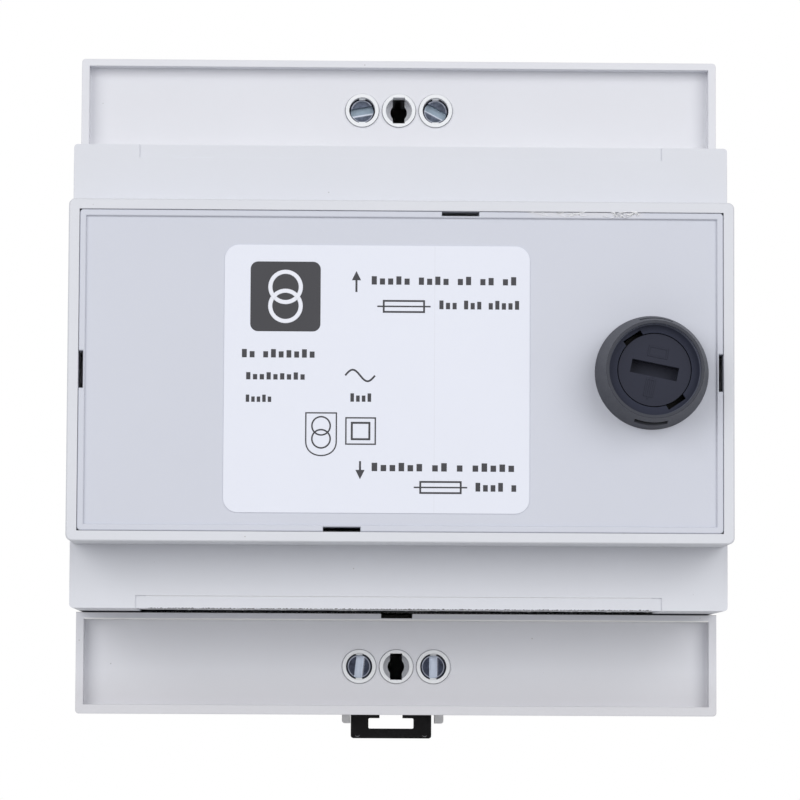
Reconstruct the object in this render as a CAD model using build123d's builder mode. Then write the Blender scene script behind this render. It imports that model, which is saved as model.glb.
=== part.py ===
from build123d import *
import os

os.makedirs("parts", exist_ok=True)

# Transformer in a five-module case for a 35 mm mounting rail.
# +X is right and +Z is up when the case hangs on its rail; the front faces -Y.
# The origin is the middle of the rail seat. A "front" value is a distance in millimetres
# from the seat towards the viewer, so a level of 53 lies at Y = -53.

# Case outline
module_pitch = 17.5
module_count = 5
case_height = 90.0
nose_height = 45.0
shoulder_height = 62.0
nose_front = 53.0
nose_step = 9.5
terminal_step = 25.0
back_depth = 5.0
wall = 1.8
case_corner = 0.5
nose_corner = 0.85
front_edge = 0.15
seam_edge = 0.2

# Rail, hook and clip
rail_width = 35.0
brim_thickness = 1.0
rail_play = 0.3
slide_play = 0.3
swing_room = 2.0
hook_overlap = 1.9
hook_flat = 1.4
clip_width = 11.55
clip_neck_width = 9.9
clip_thickness = 2.4
clip_reach = 3.4
clip_travel = 3.5
clip_rest_side = -0.2
clip_corner = 0.4
clip_window_width = 6.5
clip_window_height = 1.48
clip_foot_bar = 1.4
clip_fork_gap = 3.33
clip_fork_length = 19.5
clip_shoulder_drop = 5.0
guide_play = 0.275
guide_tab = 1.2
guide_tab_reach = 1.25
guide_lip = 1.85
guide_peg = 2.4
guide_peg_length = 2.6

# Front panel and label
frame_side_bar = 1.45
frame_end_bar = 1.4
panel_thickness = 2.2
panel_sink = 0.12
panel_gap = 0.04
panel_corner = 0.5
panel_rim = 0.85
panel_field_depth = 0.35
panel_edge = 0.1
panel_ledge = 1.6
panel_ledge_thickness = 1.5
pry_notch_length = 4.9
pry_notch_depth = 0.6
pry_notch_shift = 7.7
pry_notch_through = 4.0
label_width = 40.1
label_top_margin = 3.7
label_bottom_margin = 1.6
label_corner = 1.9
label_thickness = 0.12
label_x = -3.2

# Recessed strip along each shoulder's end, and the snap tongues
strip_width = 70.0
strip_height = 1.7
strip_recess = 0.2
strip_edge_cut = 0.2
strip_crevice = 6.0
snap_width = 8.0
snap_length = 5.0
snap_thickness = 1.2
snap_root = 0.2

# Terminal guards and blocks
guard_gap = 0.18
guard_recess = 2.0
guard_plate = 1.8
guard_side_bar = 1.05
guard_inner_bar = 0.95
guard_outer_bars = {"upper": 0.95, "lower": 1.25}
guard_notch_width = 4.25
guard_notch_depth = 0.65
guard_notch_drop = 6.0
pole_pitch = 5.08
pole_shift = 0.1
collar_radius = 2.3
collar_bore = 1.8
collar_proud = 0.3
collar_gap = 0.05
collar_tab_width = 0.9
collar_tab_reach = 0.25
collar_tab_thickness = 0.6
block_width = 15.9
block_end_gap = 0.75
tail_room = 2.6
block_floor = 1.5
key_slot_width = 1.65
key_hole_radius = 1.15
key_web_depth = 2.4
key_web_thickness = 1.2
wire_window = 3.8
wire_funnel = 3.2
parting_land = 2.1
saddle_thickness = 1.6
saddle_inset = 1.0

# Terminal screws, clamp cages and contact bars
screw_head_radius = 1.7
screw_head_height = 1.6
screw_head_sink = 1.3
screw_radius = 1.25
screw_length = 5.2
screw_slot_width = 1.05
screw_slot_depth = 0.8
screw_slot_angles = {"upper_left": 10.0, "upper_right": -28.0, "lower_left": 84.0, "lower_right": 90.0}
cage_width = 4.2
cage_length = 4.2
cage_side = 0.7
cage_top = 1.2
cage_bottom = 1.0
cage_opening = 3.8
cage_lift = 2.5
cage_play = 0.15
thread_play = 0.05
bar_width = 2.4
bar_thickness = 0.8
bar_reach = 2.0
bar_play = 0.2

# Fuse holder and fuse
fuse_edge_distance = 9.4
bezel_radius = 7.5
bezel_rim_radius = 6.4
bezel_height = 6.0
bezel_rim = 0.4
bezel_recess = 1.5
cap_radius = 4.75
cap_play = 0.1
cap_disc = 3.2
cap_neck_radius = 3.5
cap_neck_length = 3.0
cap_slot_length = 6.2
cap_slot_width = 1.75
cap_slot_depth = 2.2
cap_slot_angle = -11.3
bayonet_turn = 45.0
bayonet_notch_angle = 123.8
bayonet_notch_width = 2.65
bayonet_lug_width = 2.3
bayonet_lug_reach = 0.5
bayonet_lug_height = 1.2
bayonet_play = 0.1
barrel_radius = 6.0
barrel_bore = 3.7
barrel_length = 26.0
barrel_floor = 2.5
barrel_play = 0.1
bezel_slit_width = 4.35
bezel_slit_drop = 2.2
bezel_slit_height = 1.5
bezel_slit_depth = 0.8
bezel_slit_angle = 87.0
nut_across_flats = 15.0
nut_thickness = 3.0
nut_turn = 30.0
fuse_radius = 2.6
fuse_length = 20.0
fuse_cap_length = 5.0
fuse_glass_radius = 2.5
fuse_glass_wall = 0.5
fuse_wire_radius = 0.15
fuse_play = 0.05
contact_thickness = 0.5
contact_width = 2.4
contact_tail = 6.0

# Core and coil
core_side_clearance = 1.45
core_end_clearance = 1.7
core_fuse_clearance = 1.4
core_hole_radius = 1.9
core_hole_inset = 5.5
coil_room = 1.0
coil_front_room = 2.5
coil_play = 0.15
former_wall = 1.0
former_flange = 1.0
winding_build = 8.2
flange_lip = 0.8
tape_thickness = 0.3
primary_share = 0.6
coil_corner = 3.0
pin_width = 1.0
pin_length = 2.6
post_width = 7.0
core_screw_radius = 1.7
core_screw_head_radius = 3.2
core_screw_head_height = 2.4
core_screw_grip = 9.0
cutout_length = 8.0
cutout_width = 4.0
cutout_thickness = 2.2
cutout_wire_width = 0.8
cutout_wire_thickness = 0.4
cutout_wire_length = 4.0
lead_radius = 0.8
lead_flat_count = 8
lead_bend = 3.0
lead_drop = 5.0

# Levels and places that follow from the sizes above
case_width = module_pitch * module_count
shoulder_front = nose_front - nose_step
terminal_front = nose_front - terminal_step
side_x = case_width / 2
end_z = case_height / 2

guard_plate_front = terminal_front - guard_recess
block_front = guard_plate_front - guard_plate
collar_front = guard_plate_front + collar_proud
head_front = collar_front - screw_head_sink
head_back = head_front - screw_head_height
bar_front = head_back - screw_length
bar_back = bar_front - bar_thickness
cage_open_top = bar_front + bar_play
cage_open_back = cage_open_top - cage_opening
wire_front = (bar_back + cage_open_back) / 2
block_back = cage_open_back - cage_bottom - cage_play - block_floor
parting_front = wire_front - wire_window / 2 - parting_land
guard_inner_z = shoulder_height / 2 + guard_gap
block_inner_z = shoulder_height / 2 + tail_room
block_outer_z = end_z - guard_outer_bars["lower"] - block_end_gap
block_depth = block_outer_z - block_inner_z
block_z = (block_inner_z + block_outer_z) / 2
pole_height = block_z + pole_shift
bar_end_z = pole_height + bar_reach
tail_z = block_inner_z - bar_play - bar_thickness

panel_width = case_width - 2 * frame_side_bar
panel_height = nose_height - 2 * frame_end_bar
label_height = panel_height - 2 * panel_rim - label_top_margin - label_bottom_margin
label_z = (label_bottom_margin - label_top_margin) / 2
panel_front = nose_front - panel_sink
panel_back = panel_front - panel_thickness
field_front = panel_front - panel_field_depth
ledge_back = panel_back - panel_ledge_thickness
fuse_x = panel_width / 2 - fuse_edge_distance
bezel_front = field_front + bezel_height
barrel_back = panel_front - barrel_length
cap_front = bezel_front - bezel_recess
cap_back = cap_front - cap_disc
fuse_front = cap_back - fuse_play
fuse_back = fuse_front - fuse_length
side_contact_z = -fuse_radius - fuse_play - contact_thickness / 2
contact_back = barrel_back - contact_tail

core_left = -side_x + wall + core_side_clearance
core_right = fuse_x - barrel_radius - core_fuse_clearance
core_width = core_right - core_left
core_x = (core_left + core_right) / 2
core_height = shoulder_height - 2 * wall - 2 * core_end_clearance
yoke = core_width / 6
window_height = core_height - 2 * yoke
coil_reach = former_wall + winding_build + tape_thickness + flange_lip
coil_back = wall + coil_room
coil_front = ledge_back - coil_front_room
core_back = coil_back + coil_reach + coil_play
core_front = coil_front - coil_reach - coil_play
core_stack = core_front - core_back
core_hole_x = core_width - 2 * core_hole_inset
core_hole_z = core_height - 2 * core_hole_inset
core_mid = (core_front + core_back) / 2
flange_z = window_height / 2 - coil_play
lead_front = core_back - lead_drop

groove_top = rail_width / 2 + rail_play
groove_bottom = -rail_width / 2 - swing_room
hook_tip = rail_width / 2 - hook_overlap
hook_level = brim_thickness + rail_play
clip_bottom = -end_z - clip_reach
clip_shoulder_z = -end_z + clip_shoulder_drop
clip_window_top = clip_bottom + clip_foot_bar + clip_window_height
fork_top = clip_window_top + clip_fork_length
foot_half = clip_width / 2 + guide_play
neck_half = clip_neck_width / 2 + guide_play
tunnel_half = foot_half + guide_tab
guide_floor = brim_thickness
clip_level = guide_floor + slide_play / 2
lip_level = guide_floor + clip_thickness + slide_play


def front(level):
    """A plane facing the viewer, the given distance in front of the rail seat."""
    return Plane.XZ.offset(level)


def save(piece, name):
    """Label a finished piece and write it under its node name."""
    piece.part.label = name
    export_step(piece.part, f"parts/{name}.step")


def pry_notches(mode=Mode.ADD):
    """Draw the four notches in the panel's edges in the current sketch."""
    with Locations((pry_notch_shift, panel_height / 2), (-pry_notch_shift, -panel_height / 2)):
        Rectangle(pry_notch_length, 2 * pry_notch_depth, mode=mode)
    with Locations((panel_width / 2, 0), (-panel_width / 2, 0)):
        Rectangle(2 * pry_notch_depth, pry_notch_length, mode=mode)


# Base housing: a tray with the rail groove across its back
with BuildPart() as base_housing:
    with BuildSketch(front(parting_front)):
        RectangleRounded(case_width, case_height, case_corner)
    extrude(amount=-parting_front - back_depth)
    chamfer(faces().sort_by(Axis.Y)[0].edges(), seam_edge)
    # The pocket follows the back, one wall inside it
    with BuildSketch(Plane.YZ):
        with BuildLine():
            Polyline(
                (-parting_front, wall - end_z),
                (back_depth - wall, wall - end_z),
                (back_depth - wall, groove_bottom - wall),
                (-wall, groove_bottom - wall),
                (-wall, groove_top + wall),
                (back_depth - wall, groove_top + wall),
                (back_depth - wall, end_z - wall),
                (-parting_front, end_z - wall),
                close=True,
            )
        make_face()
    extrude(amount=side_x - wall, both=True, mode=Mode.SUBTRACT)
    # The clip's tunnel stands up inside and ends in two guide tabs below the case
    with BuildSketch(front(wall - guide_floor)):
        with Locations((0, (groove_bottom - end_z) / 2)):
            Rectangle(2 * tunnel_half, end_z + groove_bottom)
        with Locations((0, -end_z)):
            Rectangle(2 * tunnel_half, 2 * guide_tab_reach)
    extrude(amount=-(back_depth + wall - guide_floor))
    tab_corners = edges().filter_by(Axis.Y).group_by(Axis.Z)[0]
    fillet(tab_corners, clip_corner)
    # Posts under the corners of the core
    with BuildSketch(front(core_back)):
        with Locations((core_x, 0)):
            with GridLocations(core_hole_x, core_hole_z, 2, 2):
                Rectangle(post_width, post_width)
    extrude(amount=-core_back - back_depth + wall)
    with BuildSketch(front(core_back)):
        with Locations((core_x, 0)):
            with GridLocations(core_hole_x, core_hole_z, 2, 2):
                Circle(core_screw_radius + thread_play)
    extrude(amount=-core_screw_grip - thread_play, mode=Mode.SUBTRACT)
    # Saddles that carry the terminal blocks
    with BuildSketch(front(block_back)):
        with GridLocations(block_width - 2 * saddle_inset - saddle_thickness, 2 * block_z, 2, 2):
            Rectangle(saddle_thickness, block_depth)
    extrude(amount=-(block_back + back_depth - wall))
    # The rail groove, with a fixed hook over the rail's upper brim
    with BuildSketch(Plane.YZ):
        with BuildLine():
            Polyline(
                (0, groove_bottom),
                (0, groove_top),
                (hook_level, groove_top),
                (hook_level, hook_tip),
                (hook_level + hook_flat, hook_tip),
                (back_depth, groove_top + rail_play),
                (back_depth, groove_bottom),
                close=True,
            )
        make_face()
    extrude(amount=side_x, both=True, mode=Mode.SUBTRACT)
    # Below the case only the two tabs stay, beside the clip
    with BuildSketch(front(wall - guide_floor)):
        with Locations((0, -end_z - guide_tab_reach / 2)):
            Rectangle(2 * foot_half, guide_tab_reach)
    extrude(amount=-(back_depth + wall - guide_floor), mode=Mode.SUBTRACT)
    # The clip's slide: a wide foot, a narrower neck and a lip on each side
    with BuildSketch(front(-guide_floor)):
        with Locations((0, clip_shoulder_z - end_z)):
            Rectangle(2 * foot_half, 2 * end_z)
        with Locations((0, (groove_bottom + clip_shoulder_z) / 2)):
            Rectangle(2 * neck_half, groove_bottom - clip_shoulder_z + slide_play)
    extrude(amount=guide_floor - lip_level, mode=Mode.SUBTRACT)
    with BuildSketch(front(-lip_level)):
        with Locations((0, groove_bottom - end_z)):
            Rectangle(2 * (foot_half - guide_lip), 2 * end_z)
    extrude(amount=lip_level - back_depth, mode=Mode.SUBTRACT)
    # A peg in the tunnel stops the clip when it is pulled out
    with BuildSketch(front(-guide_floor)):
        with Locations((0, fork_top - clip_travel - slide_play - guide_peg / 2 - guide_peg_length / 2)):
            Rectangle(guide_peg, guide_peg_length)
    extrude(amount=guide_floor - lip_level + slide_play)
save(base_housing, "base_housing")

# Cover shell: nose and shoulders as one stepped profile
with BuildPart() as cover_shell:
    with BuildSketch(Plane.YZ):
        with BuildLine():
            Polyline(
                (-parting_front, -shoulder_height / 2),
                (-shoulder_front, -shoulder_height / 2),
                (-shoulder_front, -nose_height / 2),
                (-nose_front, -nose_height / 2),
                (-nose_front, nose_height / 2),
                (-shoulder_front, nose_height / 2),
                (-shoulder_front, shoulder_height / 2),
                (-parting_front, shoulder_height / 2),
                close=True,
            )
        make_face()
    extrude(amount=side_x, both=True)
    nose_end = nose_height / 2 + nose_corner
    fillet(edges().filter_by(Axis.Y).filter_by(lambda e: abs(e.center().Z) < nose_end), nose_corner)
    chamfer(faces().sort_by(Axis.Y)[0].edges(), front_edge)
    fillet(edges().filter_by(Axis.Y).filter_by(lambda e: abs(e.center().Z) > nose_end), case_corner)
    with BuildSketch(Plane.YZ):
        with BuildLine():
            Polyline(
                (-parting_front, wall - shoulder_height / 2),
                (wall - shoulder_front, wall - shoulder_height / 2),
                (wall - shoulder_front, wall - nose_height / 2),
                (-ledge_back, wall - nose_height / 2),
                (-ledge_back, nose_height / 2 - wall),
                (wall - shoulder_front, nose_height / 2 - wall),
                (wall - shoulder_front, shoulder_height / 2 - wall),
                (-parting_front, shoulder_height / 2 - wall),
                close=True,
            )
        make_face()
    extrude(amount=side_x - wall, both=True, mode=Mode.SUBTRACT)
    # The window for the front panel, with a ledge behind it
    with BuildSketch(front(nose_front)):
        Rectangle(panel_width + 2 * panel_gap, panel_height + 2 * panel_gap)
    extrude(amount=panel_back - nose_front, mode=Mode.SUBTRACT)
    with BuildSketch(front(panel_back)):
        Rectangle(panel_width - 2 * panel_ledge, panel_height - 2 * panel_ledge)
    extrude(amount=-panel_ledge_thickness, mode=Mode.SUBTRACT)
    # Behind the panel's pry notches the ledge opens into the case
    with BuildSketch(front(panel_back)):
        pry_notches()
    extrude(amount=-pry_notch_through, mode=Mode.SUBTRACT)
    # The shallow strip along each end, a step in the front and, behind it, in the end wall
    with BuildSketch(front(shoulder_front)):
        with Locations((0, shoulder_height / 2), (0, -shoulder_height / 2)):
            Rectangle(strip_width, 2 * strip_height)
    extrude(amount=-strip_recess, mode=Mode.SUBTRACT)
    with BuildSketch(front(shoulder_front - wall)):
        with Locations((0, shoulder_height / 2), (0, -shoulder_height / 2)):
            Rectangle(strip_width, 2 * strip_edge_cut)
    extrude(amount=terminal_front - strip_crevice - shoulder_front + wall, mode=Mode.SUBTRACT)
    # Snap tongues hang from the side walls and reach inside the base
    tongue_x = side_x - wall - guard_gap - snap_thickness / 2
    with BuildSketch(front(parting_front)):
        with GridLocations(2 * tongue_x + guard_gap + snap_root, nose_height - snap_width, 2, 2):
            Rectangle(snap_thickness + guard_gap + snap_root, snap_width)
    extrude(amount=wall)
    with BuildSketch(front(parting_front)):
        with GridLocations(2 * tongue_x, nose_height - snap_width, 2, 2):
            Rectangle(snap_thickness, snap_width)
    extrude(amount=-snap_length)
save(cover_shell, "cover_shell")

# Front panel: a rimmed plate with four pry notches and the fuse holder's hole
with BuildPart() as front_panel:
    with BuildSketch(front(panel_back)):
        RectangleRounded(panel_width, panel_height, panel_corner)
        with Locations((fuse_x, 0)):
            Circle(barrel_radius + barrel_play, mode=Mode.SUBTRACT)
        pry_notches(Mode.SUBTRACT)
    extrude(amount=panel_thickness)
    with BuildSketch(front(panel_front)):
        Rectangle(panel_width - 2 * panel_rim, panel_height - 2 * panel_rim)
    extrude(amount=-panel_field_depth, mode=Mode.SUBTRACT)
    chamfer(faces().sort_by(Axis.Y)[0].edges(), panel_edge)
save(front_panel, "front_panel")

# Rating label: a thin self-adhesive sheet on the panel's field
with BuildPart() as rating_label:
    with BuildSketch(front(field_front)):
        with Locations((label_x, label_z)):
            RectangleRounded(label_width, label_height, label_corner)
    extrude(amount=label_thickness)
save(rating_label, "rating_label")

# Rail clip: one moulding with a lever window and a forked shank
with BuildPart() as rail_clip:
    with BuildSketch(front(-clip_level)):
        with BuildLine():
            Polyline(
                (clip_rest_side - clip_width / 2, clip_bottom),
                (clip_rest_side + clip_width / 2, clip_bottom),
                (clip_rest_side + clip_width / 2, clip_shoulder_z - slide_play),
                (clip_rest_side + clip_neck_width / 2, clip_shoulder_z - slide_play),
                (clip_rest_side + clip_neck_width / 2, -hook_tip),
                (clip_rest_side - clip_neck_width / 2, -hook_tip),
                (clip_rest_side - clip_neck_width / 2, clip_shoulder_z - slide_play),
                (clip_rest_side - clip_width / 2, clip_shoulder_z - slide_play),
                close=True,
            )
        make_face()
        fillet(vertices().group_by(Axis.Y)[0], clip_corner)
        with Locations((clip_rest_side, clip_window_top - clip_window_height / 2)):
            RectangleRounded(clip_window_width, clip_window_height, clip_corner / 2, mode=Mode.SUBTRACT)
        with Locations((clip_rest_side, clip_window_top + clip_fork_length / 2 - clip_fork_gap / 4)):
            Rectangle(clip_fork_gap, clip_fork_length - clip_fork_gap / 2, mode=Mode.SUBTRACT)
        with Locations((clip_rest_side, fork_top - clip_fork_gap / 2)):
            Circle(clip_fork_gap / 2, mode=Mode.SUBTRACT)
    extrude(amount=-clip_thickness)
    # The nose is bevelled behind, so that the rail pushes it aside
    nose_edge = edges().filter_by(Axis.X).group_by(Axis.Z)[-1].sort_by(Axis.Y)[-1]
    chamfer(nose_edge, clip_thickness / 2, hook_overlap)
save(rail_clip, "rail_clip")


def guard_frame(end, outer_bar):
    """Draw the opening inside a guard's four frame bars in the current sketch."""
    low = guard_inner_z + guard_inner_bar
    high = end_z - outer_bar
    with Locations((0, end * (low + high) / 2)):
        Rectangle(case_width - 2 * guard_side_bar, high - low)


# Terminals at the upper and the lower end
for end_name, end in (("upper", 1), ("lower", -1)):
    guard_mid = end * (guard_inner_z + end_z) / 2
    outer_bar = guard_outer_bars[end_name]
    with BuildPart() as guard:
        with BuildSketch(front(parting_front)):
            with Locations((0, guard_mid)):
                Rectangle(case_width, end_z - guard_inner_z)
        extrude(amount=terminal_front - parting_front)
        outer_corners = edges().filter_by(Axis.Y).filter_by(lambda e: abs(e.center().Z) > pole_height)
        fillet(outer_corners, case_corner)
        # The hollow behind the plate and the tray in front of it share the frame bars
        with BuildSketch(front(parting_front)):
            guard_frame(end, outer_bar)
        extrude(amount=block_front - parting_front, mode=Mode.SUBTRACT)
        with BuildSketch(front(terminal_front)):
            guard_frame(end, outer_bar)
        extrude(amount=-guard_recess, mode=Mode.SUBTRACT)
        # Holes for the block's collars
        with BuildSketch(front(guard_plate_front)):
            with Locations((0, end * pole_height)):
                with GridLocations(pole_pitch, 0, 3, 1):
                    Circle(collar_radius + collar_gap)
        extrude(amount=-guard_plate, mode=Mode.SUBTRACT)
        # Wire windows through the end wall
        with BuildSketch(Plane.XY.offset(end * end_z)):
            with Locations((0, -wire_front)):
                with GridLocations(pole_pitch, 0, 3, 1):
                    Rectangle(wire_window, wire_window)
        extrude(amount=-end * outer_bar, mode=Mode.SUBTRACT)
        # Pry notch in the bar next to the shoulder
        with BuildSketch(front(terminal_front)):
            with Locations((0, end * guard_inner_z)):
                Rectangle(guard_notch_width, 2 * guard_notch_depth)
        extrude(amount=-guard_notch_drop, mode=Mode.SUBTRACT)
        # Snap tongues hang from the end wall and reach inside the base
        tongue_z = end_z - wall - guard_gap - snap_thickness
        root_z = end_z - outer_bar + snap_root
        with BuildSketch(front(parting_front)):
            with Locations((0, end * (tongue_z + root_z) / 2)):
                with GridLocations(case_width / 2, 0, 2, 1):
                    Rectangle(snap_width, root_z - tongue_z)
        extrude(amount=wall)
        with BuildSketch(front(parting_front)):
            with Locations((0, end * (tongue_z + snap_thickness / 2))):
                with GridLocations(case_width / 2, 0, 2, 1):
                    Rectangle(snap_width, snap_thickness)
        extrude(amount=-snap_length)
    save(guard, f"{end_name}_terminal_guard")

    # Terminal block: three collars; a clamp in each of the outer poles
    with BuildPart() as block:
        with BuildSketch(front(block_back)):
            with Locations((0, end * block_z)):
                Rectangle(block_width, block_depth)
        extrude(amount=block_front - block_back)
        with BuildSketch(front(block_front)):
            with Locations((0, end * pole_height)):
                with GridLocations(pole_pitch, 0, 3, 1):
                    Circle(collar_radius)
        extrude(amount=collar_front - block_front)
        # Shafts and cage pockets of the two clamps
        with BuildSketch(front(collar_front)):
            with Locations((0, end * pole_height)):
                with GridLocations(2 * pole_pitch, 0, 2, 1):
                    Circle(collar_bore)
        extrude(amount=bar_back - collar_front, mode=Mode.SUBTRACT)
        with BuildSketch(front(block_back + block_floor)):
            with Locations((0, end * pole_height)):
                with GridLocations(2 * pole_pitch, 0, 2, 1):
                    Rectangle(cage_width + 2 * cage_play, cage_length + 2 * cage_play)
        extrude(
            amount=cage_open_top + cage_top + cage_lift + cage_play - block_back - block_floor,
            mode=Mode.SUBTRACT,
        )
        # Wire funnels from outside, and the bars' slots from inside
        with BuildSketch(Plane.XY.offset(end * (block_z + block_depth / 2))):
            with Locations((0, -wire_front)):
                with GridLocations(2 * pole_pitch, 0, 2, 1):
                    Rectangle(wire_funnel, wire_funnel)
        extrude(amount=-end * block_depth / 2, mode=Mode.SUBTRACT)
        with BuildSketch(Plane.XY.offset(end * (block_z - block_depth / 2))):
            with Locations((0, -(bar_front + bar_back) / 2)):
                with GridLocations(2 * pole_pitch, 0, 2, 1):
                    Rectangle(bar_width + 2 * thread_play, bar_thickness + 2 * thread_play)
        extrude(amount=end * block_depth / 2, mode=Mode.SUBTRACT)
        # Small tabs in the collars keep the screws in
        with BuildSketch(front(head_front + thread_play)):
            with Locations((0, end * pole_height)):
                with GridLocations(2 * pole_pitch, 2 * collar_bore, 2, 2):
                    Rectangle(collar_tab_width, 2 * collar_tab_reach)
        extrude(amount=collar_tab_thickness)
        # The middle pole is empty: a web with a keyed slot and a deep pocket behind it
        with BuildSketch(front(collar_front)):
            with Locations((0, end * pole_height)):
                Circle(collar_bore)
        extrude(amount=-key_web_depth, mode=Mode.SUBTRACT)
        with BuildSketch(front(collar_front)):
            with Locations((0, end * pole_height)):
                Circle(key_hole_radius)
                Rectangle(key_slot_width, 2 * collar_bore)
        extrude(amount=-key_web_depth - key_web_thickness, mode=Mode.SUBTRACT)
        with BuildSketch(front(block_back)):
            with Locations((0, end * pole_height)):
                Rectangle(cage_width + 2 * cage_play, cage_length + 2 * cage_play)
        extrude(amount=collar_front - key_web_depth - key_web_thickness - block_back, mode=Mode.SUBTRACT)
    save(block, f"{end_name}_terminal_block")

    # Contact bars with solder tails, held in the block's slots
    with BuildPart() as contact_bars:
        for pole_x in (-pole_pitch, pole_pitch):
            with BuildSketch(Plane.YZ.offset(pole_x)):
                with BuildLine():
                    Polyline(
                        (-bar_front, end * bar_end_z),
                        (-bar_front, end * tail_z),
                        (-lead_front + lead_radius, end * tail_z),
                        (-lead_front + lead_radius, end * (tail_z + bar_thickness)),
                        (-bar_back, end * (tail_z + bar_thickness)),
                        (-bar_back, end * bar_end_z),
                        close=True,
                    )
                make_face()
            extrude(amount=bar_width / 2, both=True)
    save(contact_bars, f"{end_name}_contact_bars")

    # One screw and one rising cage in each outer pole
    for side_name, side in (("left", -1), ("right", 1)):
        pole_name = f"{end_name}_{side_name}"
        pole = (side * pole_pitch, end * pole_height)
        with BuildPart() as screw:
            with BuildSketch(front(head_back)):
                with Locations(pole):
                    Circle(screw_head_radius)
            extrude(amount=screw_head_height)
            with BuildSketch(front(head_back)):
                with Locations(pole):
                    Circle(screw_radius)
            extrude(amount=thread_play - screw_length)
            with BuildSketch(front(head_front)):
                with Locations(Location((*pole, 0), (0, 0, screw_slot_angles[pole_name]))):
                    Rectangle(3 * screw_head_radius, screw_slot_width)
            extrude(amount=-screw_slot_depth, mode=Mode.SUBTRACT)
        save(screw, f"{pole_name}_screw")
        with BuildPart() as cage:
            cage_height = cage_top + cage_opening + cage_bottom
            with BuildSketch(Plane.XY.offset(pole[1] - cage_length / 2)):
                with Locations((pole[0], -cage_open_top - cage_top)):
                    Rectangle(cage_width, cage_height, align=(Align.CENTER, Align.MIN))
                with Locations((pole[0], -cage_open_top)):
                    Rectangle(
                        cage_width - 2 * cage_side,
                        cage_opening,
                        align=(Align.CENTER, Align.MIN),
                        mode=Mode.SUBTRACT,
                    )
            extrude(amount=cage_length)
            with BuildSketch(front(cage_open_top + cage_top)):
                with Locations(pole):
                    Circle(screw_radius + thread_play)
            extrude(amount=-cage_top, mode=Mode.SUBTRACT)
        save(cage, f"{pole_name}_cage")

# Fuse holder body: conical bezel, bayonet socket and barrel, turned about its own axis
fuse_axis = Plane(origin=(fuse_x, 0, 0), x_dir=(1, 0, 0), z_dir=(0, 0, 1))
socket_radius = cap_radius + cap_play
groove_radius = cap_radius + bayonet_lug_reach + bayonet_play
lug_front = cap_back + bayonet_lug_height + bayonet_play
with BuildPart() as fuse_holder_body:
    with BuildSketch(fuse_axis):
        with BuildLine():
            Polyline(
                (barrel_bore, -barrel_back - barrel_floor),
                (barrel_bore, bayonet_play - cap_back),
                (groove_radius, bayonet_play - cap_back),
                (groove_radius, -lug_front),
                (socket_radius, -lug_front),
                (socket_radius, bezel_recess - bezel_front),
                (bezel_rim_radius - bezel_rim, bezel_recess - bezel_front),
                (bezel_rim_radius - bezel_rim, -bezel_front),
                (bezel_rim_radius, -bezel_front),
                (bezel_radius, -field_front),
                (barrel_radius, -field_front),
                (barrel_radius, -barrel_back),
                (0, -barrel_back),
                (0, -barrel_back - barrel_floor),
                close=True,
            )
        make_face()
    revolve(axis=Axis((fuse_x, 0, 0), (0, 1, 0)))
    # Entry notches for the cap's two lugs
    with BuildSketch(front(bezel_front)):
        with Locations((fuse_x, 0)):
            with PolarLocations(cap_radius, 2, start_angle=bayonet_notch_angle):
                Rectangle(2 * (bayonet_lug_reach + bayonet_play), bayonet_notch_width)
    extrude(amount=cap_back - bezel_front, mode=Mode.SUBTRACT)
    # Finger slits at the top and the bottom of the bezel
    slit_room = bezel_radius - bezel_rim_radius + bezel_slit_depth
    with BuildSketch(front(bezel_front - bezel_slit_drop)):
        with Locations((fuse_x, 0)):
            with PolarLocations(bezel_radius - slit_room / 2, 2, start_angle=bezel_slit_angle):
                Rectangle(slit_room, bezel_slit_width)
    extrude(amount=-bezel_slit_height, mode=Mode.SUBTRACT)
    # Openings in the barrel's floor for the two contacts
    with BuildSketch(front(barrel_back)):
        with Locations((fuse_x, 0), (fuse_x, side_contact_z)):
            Rectangle(contact_width + 2 * thread_play, contact_thickness + 2 * thread_play)
    extrude(amount=barrel_floor, mode=Mode.SUBTRACT)
save(fuse_holder_body, "fuse_holder_body")

# Fuse cap: slotted disc with two lugs, and a neck that grips the fuse
with BuildPart() as fuse_cap:
    with BuildSketch(front(cap_back)):
        with Locations((fuse_x, 0)):
            Circle(cap_radius)
    extrude(amount=cap_disc)
    with BuildSketch(front(cap_back + bayonet_play)):
        with Locations((fuse_x, 0)):
            with PolarLocations(cap_radius, 2, start_angle=bayonet_notch_angle - bayonet_turn):
                Rectangle(2 * bayonet_lug_reach, bayonet_lug_width)
    extrude(amount=bayonet_lug_height - bayonet_play)
    with BuildSketch(front(cap_back)):
        with Locations((fuse_x, 0)):
            Circle(cap_neck_radius)
            Circle(fuse_radius + fuse_play, mode=Mode.SUBTRACT)
    extrude(amount=-cap_neck_length)
    with BuildSketch(front(cap_front)):
        with Locations(Location((fuse_x, 0, 0), (0, 0, cap_slot_angle))):
            Rectangle(cap_slot_length, cap_slot_width)
    extrude(amount=-cap_slot_depth, mode=Mode.SUBTRACT)
save(fuse_cap, "fuse_cap")

# Nut that draws the bezel against the panel
with BuildPart() as fuse_holder_nut:
    with BuildSketch(front(panel_back)):
        with Locations((fuse_x, 0)):
            RegularPolygon(nut_across_flats / 2, 6, major_radius=False, rotation=nut_turn)
            Circle(barrel_radius + thread_play, mode=Mode.SUBTRACT)
    extrude(amount=-nut_thickness)
save(fuse_holder_nut, "fuse_holder_nut")

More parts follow.
